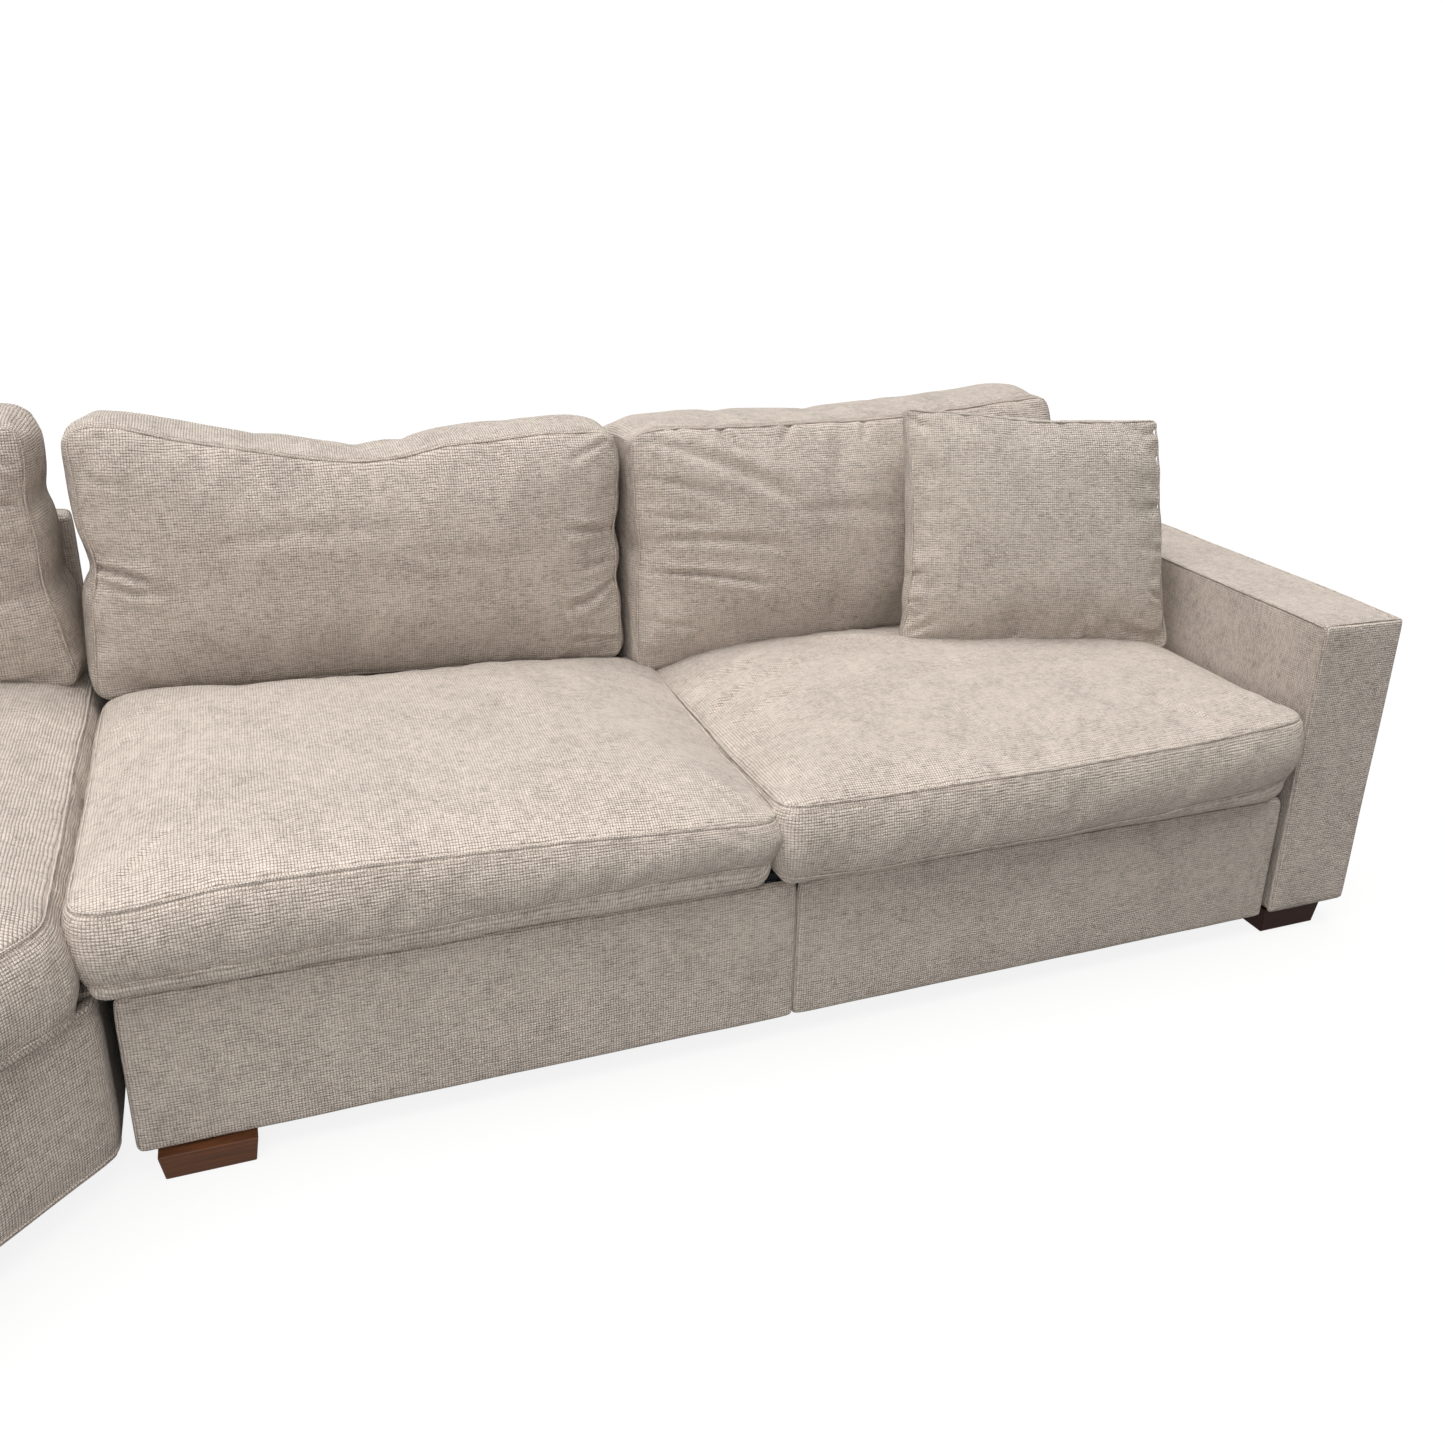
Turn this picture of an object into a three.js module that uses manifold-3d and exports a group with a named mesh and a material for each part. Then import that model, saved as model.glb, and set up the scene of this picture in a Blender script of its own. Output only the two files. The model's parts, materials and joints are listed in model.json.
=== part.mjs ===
// Reclining sectional sofa: two powered reclining seats with a right arm, and a corner wedge.
// Millimetres, +Z up. The front faces -Y and the arm stands at the +X end.
// Inside the model x runs from the inner face of the arm and y from the front of the arm.

import * as THREE from 'three';
import { mergeVertices } from 'three/addons/utils/BufferGeometryUtils.js';
import Module from 'manifold-3d';

const wasm = await Module();
wasm.setup();

// General sizes
const seatGap = 0.3; // between faces that rest on each other
const runGap = 1; // between steel parts that slide past each other
const overrun = 2; // how far a cutting body passes the wall it opens
const boardThick = 20; // frame boards under their cover
const steelThick = 4; // mechanism plates and links

// Whole sofa
const sofaDepth = 1030; // front of the arm to the back of the base
const frameLift = 54; // floor to the underside of arm and base
const baseTop = 302; // top of the base panels
const deckTop = 309; // face that the seat cushions rest on

// Arm
const arm = { inner: 6, outer: 188, height: 638, crown: 8, round: 14, edge: 7 };

// Reclining seats
const seatBay = 984; // clear width between the frame walls beside one seat
const centerRailThick = 16;
const leftWallThick = 12;
const sideClear = 1; // between a footrest panel and each side of its bay
const frontPanel = {
  width: seatBay - 2 * sideClear, thick: 20, setBack: 8, bottom: 46, top: 298, round: 18, lowRound: 6, edge: 4,
};
const panelShift = { right: -10, left: 3 }; // how far each panel hangs off the middle of its bay
const bayCenters = { right: -seatBay / 2, left: -seatBay * 1.5 - centerRailThick };
const leftWallFace = bayCenters.left - seatBay / 2;
const loveseatEnd = leftWallFace - leftWallThick;

// Corner wedge
const wedge = { gap: 6, leg: 525, rail: 24, nose: 50, backThick: 66, backTop: 722, backEnd: 30, coverRound: 16 };
const wedgeRight = loveseatEnd - wedge.gap;
const wedgeSpan = sofaDepth + wedge.leg;
const wedgeLeft = wedgeRight - wedgeSpan;

const colors = {
  fabric: '#b7aa9d',
  steel: '#3a3c40',
  board: '#b58f62',
  darkWood: '#2c1d17',
  walnut: '#6a4630',
  plastic: '#1b1b1d',
  pillow: '#bcae9f',
};

function material(color, roughness = 0.9, metalness = 0) {
  return new THREE.MeshStandardMaterial({ color, roughness, metalness });
}

const fabric = material(colors.fabric);
const steel = material(colors.steel, 0.45, 0.9);
const board = material(colors.board, 0.7);
const plastic = material(colors.plastic, 0.5);
const darkWood = material(colors.darkWood, 0.5);
const walnut = material(colors.walnut, 0.5);

// Joining and cutting

function toSolid(geometry) {
  const bare = geometry.clone();
  bare.deleteAttribute('normal');
  bare.deleteAttribute('uv');
  const merged = mergeVertices(bare, 1e-3);
  return new wasm.Manifold(new wasm.Mesh({
    numProp: 3,
    vertProperties: Float32Array.from(merged.attributes.position.array),
    triVerts: Uint32Array.from(merged.index.array),
  }));
}

function toGeometry(solid) {
  const { vertProperties, triVerts } = solid.getMesh();
  const geometry = new THREE.BufferGeometry();
  geometry.setAttribute('position', new THREE.Float32BufferAttribute(vertProperties, 3));
  geometry.setIndex(Array.from(triVerts));
  return geometry;
}

function join(...geometries) {
  return toGeometry(geometries.map(toSolid).reduce((sum, next) => sum.add(next)));
}

function cut(geometry, ...tools) {
  return toGeometry(tools.map(toSolid).reduce((rest, tool) => rest.subtract(tool), toSolid(geometry)));
}

// Basic forms, all given by their limits in model space

function block([x0, x1], [y0, y1], [z0, z1]) {
  const geometry = new THREE.BoxGeometry(x1 - x0, y1 - y0, z1 - z0);
  return geometry.translate((x0 + x1) / 2, (y0 + y1) / 2, (z0 + z1) / 2);
}

const pinSides = 10;

function cylinderX([x0, x1], { y, z }, radius, sides = pinSides) {
  const geometry = new THREE.CylinderGeometry(radius, radius, x1 - x0, sides);
  return geometry.rotateZ(Math.PI / 2).translate((x0 + x1) / 2, y, z);
}

// Hole whose flats stay clear of the corners of a turning pin
function pinHole([x0, x1], pivot, radius) {
  return cylinderX([x0 - overrun, x1 + overrun], pivot, radius / Math.cos(Math.PI / pinSides));
}

// Extrudes a shape drawn with y across and z up along x
function plateX(shape, [x0, x1], curveSegments = 3) {
  const geometry = new THREE.ExtrudeGeometry(shape, { depth: x1 - x0, bevelEnabled: false, curveSegments });
  const toSide = new THREE.Matrix4().makeBasis(
    new THREE.Vector3(0, 1, 0), new THREE.Vector3(0, 0, 1), new THREE.Vector3(1, 0, 0));
  return geometry.applyMatrix4(toSide).translate(x0, 0, 0);
}

// Extrudes a shape drawn with x across and z up along y, with its edges softened
function panelY(shape, [y0, y1], edge = 0, curveSegments = 4) {
  const settings = edge
    ? { depth: y1 - y0 - 2 * edge, bevelThickness: edge, bevelSize: edge, bevelOffset: -edge, bevelSegments: 2 }
    : { depth: y1 - y0, bevelEnabled: false };
  const geometry = new THREE.ExtrudeGeometry(shape, { ...settings, curveSegments });
  return geometry.rotateX(Math.PI / 2).translate(0, y1 - edge, 0);
}

// Extrudes a plan outline from z0 to z1
function slabZ(shape, [z0, z1], curveSegments = 6) {
  const geometry = new THREE.ExtrudeGeometry(shape, { depth: z1 - z0, bevelEnabled: false, curveSegments });
  return geometry.translate(0, 0, z0);
}

function polygon(points) {
  return new THREE.Shape(points.map(([a, b]) => new THREE.Vector2(a, b)));
}

// Rectangle with its top corners, and if asked its bottom corners, rounded
function roundedRectangle([a0, a1], [b0, b1], topRound, bottomRound = 0) {
  const shape = new THREE.Shape();
  shape.moveTo(a0 + bottomRound, b0);
  shape.lineTo(a1 - bottomRound, b0);
  if (bottomRound) shape.absarc(a1 - bottomRound, b0 + bottomRound, bottomRound, -Math.PI / 2, 0, false);
  shape.lineTo(a1, b1 - topRound);
  shape.absarc(a1 - topRound, b1 - topRound, topRound, 0, Math.PI / 2, false);
  shape.lineTo(a0 + topRound, b1);
  shape.absarc(a0 + topRound, b1 - topRound, topRound, Math.PI / 2, Math.PI, false);
  shape.lineTo(a0, b0 + bottomRound);
  if (bottomRound) shape.absarc(a0 + bottomRound, b0 + bottomRound, bottomRound, Math.PI, Math.PI * 1.5, false);
  return shape;
}

// Bar with round ends between two pivots, drawn with y across and z up
function linkShape(from, to, radius) {
  const along = Math.atan2(to.z - from.z, to.y - from.y);
  const shape = new THREE.Shape();
  shape.absarc(to.y, to.z, radius, along - Math.PI / 2, along + Math.PI / 2, false);
  shape.absarc(from.y, from.z, radius, along + Math.PI / 2, along + Math.PI * 1.5, false);
  return shape;
}

function named(name, geometry, look) {
  const mesh = new THREE.Mesh(geometry, look);
  mesh.name = name;
  return mesh;
}

// Upholstered cushions
// A cushion is drawn as an outline that is carried through rings: each ring is the outline
// drawn in by a share of the roll, at a share of the thickness. Between the corners the
// sides are pulled in, and the upper face rises to a crown.

const boxedRingShares = [ // [share of the roll drawn in, share of the thickness]
  [1, 0],
  [0.3, 0.05],
  [0, 0.2],
  [-0.02, 0.5],
  [0.02, 0.8],
  [0.34, 0.93],
  [1, 1],
];
const crownRingShares = [0.82, 0.58, 0.3]; // share of the way from the middle to the roll

// Corners are cut back to arcs, and each side keeps a few points of its own
function outlineRing(corners, { cornerRound, sideSteps, cornerSteps = 3 }) {
  const ring = [];
  corners.forEach((corner, i) => {
    const before = corners[(i + corners.length - 1) % corners.length];
    const after = corners[(i + 1) % corners.length];
    const inward = before.clone().sub(corner).normalize();
    const onward = after.clone().sub(corner).normalize();
    const halfAngle = Math.acos(THREE.MathUtils.clamp(inward.dot(onward), -1, 1)) / 2;
    const setBack = cornerRound / Math.tan(halfAngle);
    const start = corner.clone().addScaledVector(inward, setBack);
    const end = corner.clone().addScaledVector(onward, setBack);
    const arc = new THREE.QuadraticBezierCurve(start, corner, end);
    for (let k = 0; k <= cornerSteps; k++) ring.push({ point: arc.getPoint(k / cornerSteps), draw: 0 });
    const next = after.clone().addScaledVector(onward, -setBack);
    const normal = new THREE.Vector2(-onward.y, onward.x);
    for (let k = 1; k < sideSteps; k++) {
      const share = k / sideSteps;
      ring.push({ point: end.clone().lerp(next, share), draw: Math.sin(Math.PI * share), normal });
    }
  });
  return ring;
}

function cushion(corners, size) {
  const { thick, roll, crown, draw } = size;
  const ring = outlineRing(corners, size);
  const middle = ring.reduce((sum, { point }) => sum.add(point), new THREE.Vector2()).divideScalar(ring.length);
  const reach = Math.min(...ring.map(({ point }) => point.distanceTo(middle)));
  const drawn = ring.map(({ point, draw: share, normal }) => (
    normal ? point.clone().addScaledVector(normal, draw * share) : point.clone()));
  const positions = [];
  const addRing = (scale, z) => drawn.forEach((point) => {
    const place = middle.clone().lerp(point, scale);
    positions.push(place.x, place.y, z);
  });
  boxedRingShares.forEach(([inset, height]) => addRing(1 - (inset * roll) / reach, height * thick));
  const edgeScale = 1 - roll / reach;
  crownRingShares.forEach((share) => addRing(edgeScale * share, thick + crown * (1 - share * share)));
  const rings = boxedRingShares.length + crownRingShares.length;
  const count = drawn.length;
  const bottom = positions.length / 3;
  positions.push(middle.x, middle.y, 0, middle.x, middle.y, thick + crown);
  const index = [];
  for (let i = 0; i < count; i++) {
    const j = (i + 1) % count;
    index.push(bottom, j, i);
    for (let r = 0; r < rings - 1; r++) {
      const [a, b, c, d] = [r * count + i, r * count + j, (r + 1) * count + j, (r + 1) * count + i];
      index.push(a, b, c, a, c, d);
    }
    index.push((rings - 1) * count + i, (rings - 1) * count + j, bottom + 1);
  }
  const geometry = new THREE.BufferGeometry();
  geometry.setAttribute('position', new THREE.Float32BufferAttribute(positions, 3));
  geometry.setIndex(index);
  return geometry;
}

function rectangleCorners([a0, a1], [b0, b1]) {
  return [[a0, b0], [a1, b0], [a1, b1], [a0, b1]].map(([a, b]) => new THREE.Vector2(a, b));
}

// Fixed frame of the two seats

const stretcher = { front: 240, back: 300, bottom: 44, top: 64 };
const railTop = 290; // boards that end below the seat decks
const wallFront = 60; // front of the middle board behind the footrest panels
const leftWallFront = 130;
const wallHeel = 60; // depth of the part of the left wall that the shelf is fixed to

function rightArm() {
  const { inner, outer, height, crown, round, edge } = arm;
  const shape = new THREE.Shape();
  const shoulder = height - round;
  shape.moveTo(inner, frameLift);
  shape.lineTo(outer, frameLift);
  shape.lineTo(outer, shoulder);
  shape.quadraticCurveTo(outer, height, outer - round, height);
  shape.quadraticCurveTo((inner + outer) / 2, height + crown, inner + round, height);
  shape.quadraticCurveTo(inner, height, inner, shoulder);
  const body = panelY(shape, [0, sofaDepth], edge, 6);
  return named('right_arm', cut(body, switchRecess()), fabric);
}

// Side board behind the left panel, with a shelf that carries the front foot
function leftWall() {
  const backEnd = sofaDepth - wedge.rail - seatGap;
  const wall = block([loveseatEnd, leftWallFace], [leftWallFront, backEnd], [frameLift, railTop]);
  const { width, inset, top } = frontFoot.left;
  const shelfZ = [top + seatGap, frameLift - steelThick];
  const behindPanel = frontPanel.setBack + frontPanel.thick + 3 * runGap;
  const shelfBack = leftWallFront + wallHeel;
  const footX = [loveseatEnd + inset, loveseatEnd + inset + width];
  const shelf = block(footX, [behindPanel, shelfBack], shelfZ);
  const heelX = [loveseatEnd, footX[0] + overrun];
  const heel = block(heelX, [leftWallFront, shelfBack], shelfZ);
  const cheek = block([loveseatEnd, leftWallFace], [leftWallFront, shelfBack], [shelfZ[0], frameLift + steelThick]);
  return named('left_wall', join(wall, shelf, heel, cheek), fabric);
}

function centerRail() {
  const x1 = bayCenters.right - seatBay / 2 - seatGap;
  const rearEnd = sofaDepth - wedge.rail - seatGap;
  const levels = [stretcher.top + seatGap, railTop];
  const body = block([x1 - centerRailThick + 2 * seatGap, x1], [wallFront, rearEnd], levels);
  return named('center_rail', body, board);
}

function frontStretcher() {
  const { front, back, bottom, top } = stretcher;
  return named('front_stretcher', block([leftWallFace + seatGap, arm.inner - seatGap], [front, back], [bottom, top]), board);
}

function rearRail() {
  const shape = roundedRectangle([loveseatEnd, arm.inner - seatGap], [frameLift, baseTop - seatGap], wedge.coverRound);
  return named('rear_rail', panelY(shape, [sofaDepth - wedge.rail, sofaDepth], frontPanel.edge), fabric);
}

// Feet: wood blocks that narrow a little towards the floor

const footTaper = 6;
const frontFoot = {
  right: { width: 141, left: 2, front: 12, depth: 70, top: frameLift - seatGap },
  left: { width: 131, inset: 38, front: -8, depth: 80, top: stretcher.bottom - 2 * seatGap },
};
const rearFoot = { width: 110, depth: 60, inset: 20 };
const centerLeg = { width: 60, depth: 44 };

function foot(name, [x0, x1], [y0, y1], top, look = darkWood) {
  const cx = (x0 + x1) / 2;
  const cy = (y0 + y1) / 2;
  const geometry = block([x0, x1], [y0, y1], [0, top]);
  const { position } = geometry.attributes;
  for (let i = 0; i < position.count; i++) {
    if (position.getZ(i) > 0) continue;
    position.setX(i, position.getX(i) + footTaper * Math.sign(cx - position.getX(i)));
    position.setY(i, position.getY(i) + footTaper * Math.sign(cy - position.getY(i)));
  }
  return named(name, geometry, look);
}

function seatFeet() {
  const { right, left } = frontFoot;
  const spanFrom = (start, size) => [start, start + size];
  const rearY = spanFrom(sofaDepth - rearFoot.inset - rearFoot.depth, rearFoot.depth);
  const rearRight = spanFrom(rearFoot.inset, rearFoot.width);
  const rearLeft = spanFrom(loveseatEnd + rearFoot.inset, rearFoot.width);
  const legX = bayCenters.right - (seatBay + centerRailThick) / 2;
  const legSpan = spanFrom(legX - centerLeg.width / 2, centerLeg.width);
  const legY = spanFrom(stretcher.front + footTaper, centerLeg.depth);
  const frontRight = spanFrom(right.left, right.width);
  const frontLeft = spanFrom(loveseatEnd + left.inset, left.width);
  return [
    foot('front_right_foot', frontRight, spanFrom(right.front, right.depth), right.top),
    foot('front_left_foot', frontLeft, spanFrom(left.front, left.depth), left.top, walnut),
    foot('rear_right_foot', rearRight, rearY, right.top),
    foot('rear_left_foot', rearLeft, rearY, right.top, walnut),
    foot('center_leg', legSpan, legY, stretcher.bottom - seatGap),
  ];
}

// Switches on the outer face of the arm: one rocker for each seat

const switchPlate = { front: 250, length: 120, bottom: 430, height: 76, thick: 5, round: 12 };
const rocker = { length: 30, height: 44, gap: 1.5, bulge: 3, deep: 9, pinRadius: 2.5, lug: 5 };
const rockerShares = { right: 0.28, left: 0.72 }; // where each rocker sits along the plate
const rockerMiddle = (name) => switchPlate.front + switchPlate.length * rockerShares[name];
const rockerMiddles = { right: rockerMiddle('right'), left: rockerMiddle('left') };
const rockerZ = switchPlate.bottom + switchPlate.height / 2;
const recessMargin = 9;

function switchRecess() {
  const { front, length, bottom, height } = switchPlate;
  const depth = rocker.deep + rocker.pinRadius + 2 * runGap;
  return block(
    [arm.outer - depth, arm.outer + overrun],
    [front + recessMargin, front + length - recessMargin],
    [bottom + recessMargin, bottom + height - recessMargin]);
}

function switchPlateBody() {
  const { front, length, bottom, height, thick, round } = switchPlate;
  const face = [arm.outer + seatGap, arm.outer + seatGap + thick];
  const plate = plateX(roundedRectangle([front, front + length], [bottom, bottom + height], round, round), face);
  const lugDepth = rocker.deep;
  const halfOpening = { y: rocker.length / 2 + rocker.gap, z: rocker.height / 2 + rocker.gap };
  let body = plate;
  for (const y of Object.values(rockerMiddles)) {
    for (const side of [-1, 1]) {
      const near = y + side * halfOpening.y;
      const lugY = [near, near + side * rocker.lug].sort((a, b) => a - b);
      const lug = block([arm.outer - lugDepth, face[1] - runGap], lugY, [rockerZ - rocker.lug, rockerZ + rocker.lug]);
      body = join(body, lug);
    }
    const opening = block(
      [arm.outer - lugDepth - overrun, face[1] + overrun],
      [y - halfOpening.y, y + halfOpening.y], [rockerZ - halfOpening.z, rockerZ + halfOpening.z]);
    body = cut(body, opening, pinY(y, halfOpening.y + rocker.lug + overrun, rocker.pinRadius + seatGap));
  }
  return named('switch_plate', body, plastic);
}

function pinY(y, half, radius) {
  const pin = new THREE.CylinderGeometry(radius, radius, 2 * half, 12);
  return pin.translate(rockerAxisX, y, rockerZ);
}

const rockerAxisX = arm.outer - rocker.deep / 2;

// Seen from its end a rocker is a wedge that stands proud at the top and bottom
function rockerBody(name, y) {
  const faceX = arm.outer + seatGap + switchPlate.thick;
  const half = rocker.height / 2;
  const shape = new THREE.Shape();
  shape.moveTo(arm.outer - rocker.deep, -half / 2);
  shape.lineTo(arm.outer, -half);
  shape.lineTo(faceX + rocker.bulge, -half);
  shape.quadraticCurveTo(faceX - rocker.bulge, 0, faceX + rocker.bulge, half);
  shape.lineTo(arm.outer, half);
  shape.lineTo(arm.outer - rocker.deep, half / 2);
  const body = panelY(shape, [-rocker.length / 2, rocker.length / 2]).translate(0, y, rockerZ);
  const pin = pinY(y, rocker.length / 2 + rocker.gap + rocker.lug - seatGap, rocker.pinRadius);
  return named(name, join(body, pin), plastic);
}

// Footrest linkage of one reclining seat
// On each side a lift link, a guide link, an extension link and a control link carry the
// footrest bracket. Pivots are given at rest, with the footrest closed: y back, z up.

const liftPivot = { y: 120, z: 270 };
const guidePivot = { y: 82, z: 286 };
const liftLength = 180;
const extensionReach = { y: -39.9, z: 160.1 }; // lift pin to bracket pin
const tailReach = { y: 50, z: -200 }; // lift pivot to the pin of the control link
const bracketArm = { y: 40, z: -10 }; // bracket pin to the pin of the control link
const guideArm = { y: -25, z: 20 }; // lift pin to the pin of the guide link
const guideTipShift = { y: -1.7, z: 0.6 }; // where the guide link's eye sits about its pin at rest
const offset = (pivot, by) => ({ y: pivot.y + by.y, z: pivot.z + by.z });
const liftPin = { y: liftPivot.y, z: liftPivot.z - liftLength };
const bracketPin = offset(liftPin, extensionReach);
const tailPin = offset(liftPivot, tailReach);
const controlPin = offset(bracketPin, bracketArm);
const guidePin = offset(liftPin, guideArm);
const guideTip = offset(guidePin, guideTipShift);

const link = {
  radius: 12, guideRadius: 9, headRadius: 19, crankRadius: 15.5, pinRadius: 4, tubeRadius: 10, shaftRadius: 5,
  hole: 0.3, guideEye: 2.6, controlEye: 1.4,
};
const planes = { plate: 0, guide: 1, lift: 2, extension: 3, bracket: 4, control: 5 };
const mechanism = {
  plateTop: 296, plateBottom: 68, plateFront: 56, plateBack: 930, frontLobeBack: 165, frontLobeLow: 250, slope: 100,
};
const plateSlot = 34; // half height of the lightening slot in each plate
const crank = { length: 80, restAngle: -127.5, spread: 12, pinRadius: 5 };
const sides = [-1, 1];

// Extent in x of one plane of the linkage, counted inwards from the side wall
function planeX(side, plane, planeEnd = plane) {
  const wall = seatBay / 2 - seatGap;
  const outer = wall - plane * (steelThick + runGap);
  const inner = wall - planeEnd * (steelThick + runGap) - steelThick;
  return side > 0 ? [inner, outer] : [-outer, -inner];
}

function onBothSides(make) {
  return join(...sides.flatMap((side) => make(side)));
}

function innerFace(plane) {
  return planeX(1, plane)[0];
}

const rearChannel = { front: 880, back: 930, bottom: 78, top: 128 };
const actuatorTube = { y: 620, z: 198, radius: 13 };
const backPost = { reach: seatBay / 2 - 120, halfWidth: 26, thick: 8, cap: 13 };
const hingeInset = 125; // back of the base to the axis that the seat backs turn on
const backHinge = { y: sofaDepth - hingeInset, z: 320, pinRadius: 7, tubeRadius: 12 };

function mechanismBase() {
  const { plateTop, plateBottom, plateFront, plateBack, frontLobeBack, frontLobeLow: lobe, slope } = mechanism;
  const outline = polygon([
    [plateFront, plateTop], [plateFront, lobe], [frontLobeBack, lobe - slope], [frontLobeBack + slope, plateBottom],
    [plateBack, plateBottom], [plateBack, rearChannel.top], [plateBack - slope, rearChannel.top],
    [actuatorTube.y + slope, plateTop]]);
  const plate = (side) => {
    const span = planeX(side, planes.plate);
    const slotZ = (plateTop + plateBottom) / 2;
    const slot = linkShape({ y: frontLobeBack + slope, z: slotZ }, { y: actuatorTube.y - slope, z: slotZ }, plateSlot);
    return cut(
      plateX(outline, span),
      pinHole(span, liftPivot, link.tubeRadius + link.hole),
      pinHole(span, guidePivot, link.shaftRadius + link.hole),
      plateX(slot, [span[0] - overrun, span[1] + overrun]));
  };
  const post = (side) => {
    const middle = side * backPost.reach;
    const span = [middle - backPost.thick / 2, middle + backPost.thick / 2];
    const strap = polygon([
      [backHinge.y - backPost.halfWidth, rearChannel.bottom], [backHinge.y + backPost.halfWidth, rearChannel.bottom],
      [backHinge.y + backPost.halfWidth, backHinge.z], [backHinge.y, backHinge.z + backPost.cap],
      [backHinge.y - backPost.halfWidth, backHinge.z]]);
    return cut(plateX(strap, span), pinHole(span, backHinge, backHinge.pinRadius + link.hole));
  };
  const reach = innerFace(planes.plate) + steelThick / 2;
  const across = [-reach, reach];
  return join(
    onBothSides((side) => [plate(side), post(side)]),
    block(across, [rearChannel.front, rearChannel.back], [rearChannel.bottom, rearChannel.top]),
    cylinderX(across, actuatorTube, actuatorTube.radius));
}

function crankPinAtRest() {
  const angle = THREE.MathUtils.degToRad(crank.restAngle);
  return { y: liftPivot.y - crank.length * Math.cos(angle), z: liftPivot.z + crank.length * Math.sin(angle) };
}

function liftLinks() {
  const arm1 = linkShape(liftPivot, liftPin, link.radius);
  const tail = linkShape(liftPin, tailPin, link.radius);
  const head = linkShape(liftPivot, liftPivot, link.headRadius);
  const crankPin = crankPinAtRest();
  const half = (side) => {
    const own = planeX(side, planes.lift);
    const fork = [side * crank.spread, side * (crank.spread + steelThick)].sort((a, b) => a - b);
    return [
      plateX(arm1, own), plateX(tail, own), plateX(head, own),
      cylinderX(planeX(side, planes.plate, planes.lift), liftPivot, link.tubeRadius),
      cylinderX(planeX(side, planes.lift, planes.extension), liftPin, link.pinRadius),
      cylinderX(planeX(side, planes.lift, planes.control), tailPin, link.pinRadius),
      plateX(linkShape(liftPivot, crankPin, link.crankRadius), fork),
    ];
  };
  const reach = innerFace(planes.lift) + steelThick / 2;
  return join(
    onBothSides(half),
    cylinderX([-reach, reach], liftPivot, link.tubeRadius),
    cylinderX([-crank.spread - steelThick / 2, crank.spread + steelThick / 2], crankPin, crank.pinRadius));
}

function guideLinks() {
  const half = (side) => {
    const own = planeX(side, planes.guide);
    const bar = join(
      plateX(linkShape(guidePivot, guideTip, link.guideRadius), own),
      plateX(linkShape(guideTip, guideTip, link.radius + link.guideEye), own));
    return [
      cut(bar, pinHole(own, guideTip, link.pinRadius + link.guideEye)),
      cylinderX(planeX(side, planes.plate, planes.guide), guidePivot, link.shaftRadius),
    ];
  };
  const reach = innerFace(planes.guide) + steelThick / 2;
  return join(onBothSides(half), cylinderX([-reach, reach], guidePivot, link.shaftRadius));
}

function extensionLinks() {
  const half = (side) => {
    const own = planeX(side, planes.extension);
    const bar = join(
      plateX(linkShape(liftPin, bracketPin, link.radius), own),
      plateX(linkShape(liftPin, guidePin, link.radius), own));
    return [
      cut(bar, pinHole(own, liftPin, link.pinRadius + link.hole)),
      cylinderX(planeX(side, planes.guide, planes.extension), guidePin, link.pinRadius),
    ];
  };
  const reach = innerFace(planes.extension) + steelThick / 2;
  return join(onBothSides(half), cylinderX([-reach, reach], bracketPin, link.shaftRadius));
}

function controlLinks() {
  const half = (side) => {
    const own = planeX(side, planes.control);
    const tailHole = pinHole(own, tailPin, link.pinRadius + link.hole);
    const eye = pinHole(own, controlPin, link.pinRadius + link.controlEye);
    return [cut(plateX(linkShape(tailPin, controlPin, link.radius), own), tailHole, eye)];
  };
  const reach = innerFace(planes.control) + steelThick / 2;
  const middle = { y: (tailPin.y + controlPin.y) / 2, z: (tailPin.z + controlPin.z) / 2 };
  return join(onBothSides(half), cylinderX([-reach, reach], middle, link.shaftRadius));
}

const bracketBar = { thick: 6, low: 190, high: 246, plateLow: 142, toe: 6 };

function footrestBrackets() {
  const back = frontPanel.setBack + frontPanel.thick + seatGap;
  const flange = back + bracketBar.thick;
  const { plateLow, toe } = bracketBar;
  const outline = polygon([
    [back, bracketPin.z + link.radius], [back, plateLow], [flange + toe, plateLow],
    [bracketPin.y, bracketPin.z - link.radius], [bracketPin.y, bracketPin.z + link.radius]]);
  const half = (side) => {
    const own = planeX(side, planes.bracket);
    const plate = join(plateX(outline, own), plateX(linkShape(bracketPin, controlPin, link.radius), own));
    return [
      cut(plate, pinHole(own, bracketPin, link.shaftRadius + link.hole)),
      cylinderX(planeX(side, planes.bracket, planes.control), controlPin, link.pinRadius),
    ];
  };
  const reach = innerFace(planes.bracket) + steelThick / 2;
  return join(onBothSides(half), block([-reach, reach], [back, flange], [bracketBar.low, bracketBar.high]));
}

function footrestPanel(shift) {
  const { width, thick, setBack, bottom, top, round, lowRound, edge } = frontPanel;
  const shape = roundedRectangle([shift - width / 2, shift + width / 2], [bottom, top], round, lowRound);
  return panelY(shape, [setBack, setBack + thick], edge);
}

// Actuator: the motor housing hangs on the rear tube and the rod pushes the crank

const actuator = {
  z: 198, rodRadius: 9, bodyRadius: 20, bodyFront: 300, bodyBack: 560, boreBack: 500, motorRadius: 28, motorDrop: 62,
  motorFront: 460, motorBack: 540, gearFront: 520, eyeHalf: 8, eyeFlank: 12, eyeRadius: 15.5,
  slotTravel: 9, slotSlack: 2, clevis: 6,
};

function cylinderY(x, [y0, y1], z, radius, sides = 14) {
  const geometry = new THREE.CylinderGeometry(radius, radius, y1 - y0, sides);
  return geometry.translate(x, (y0 + y1) / 2, z);
}

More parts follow.
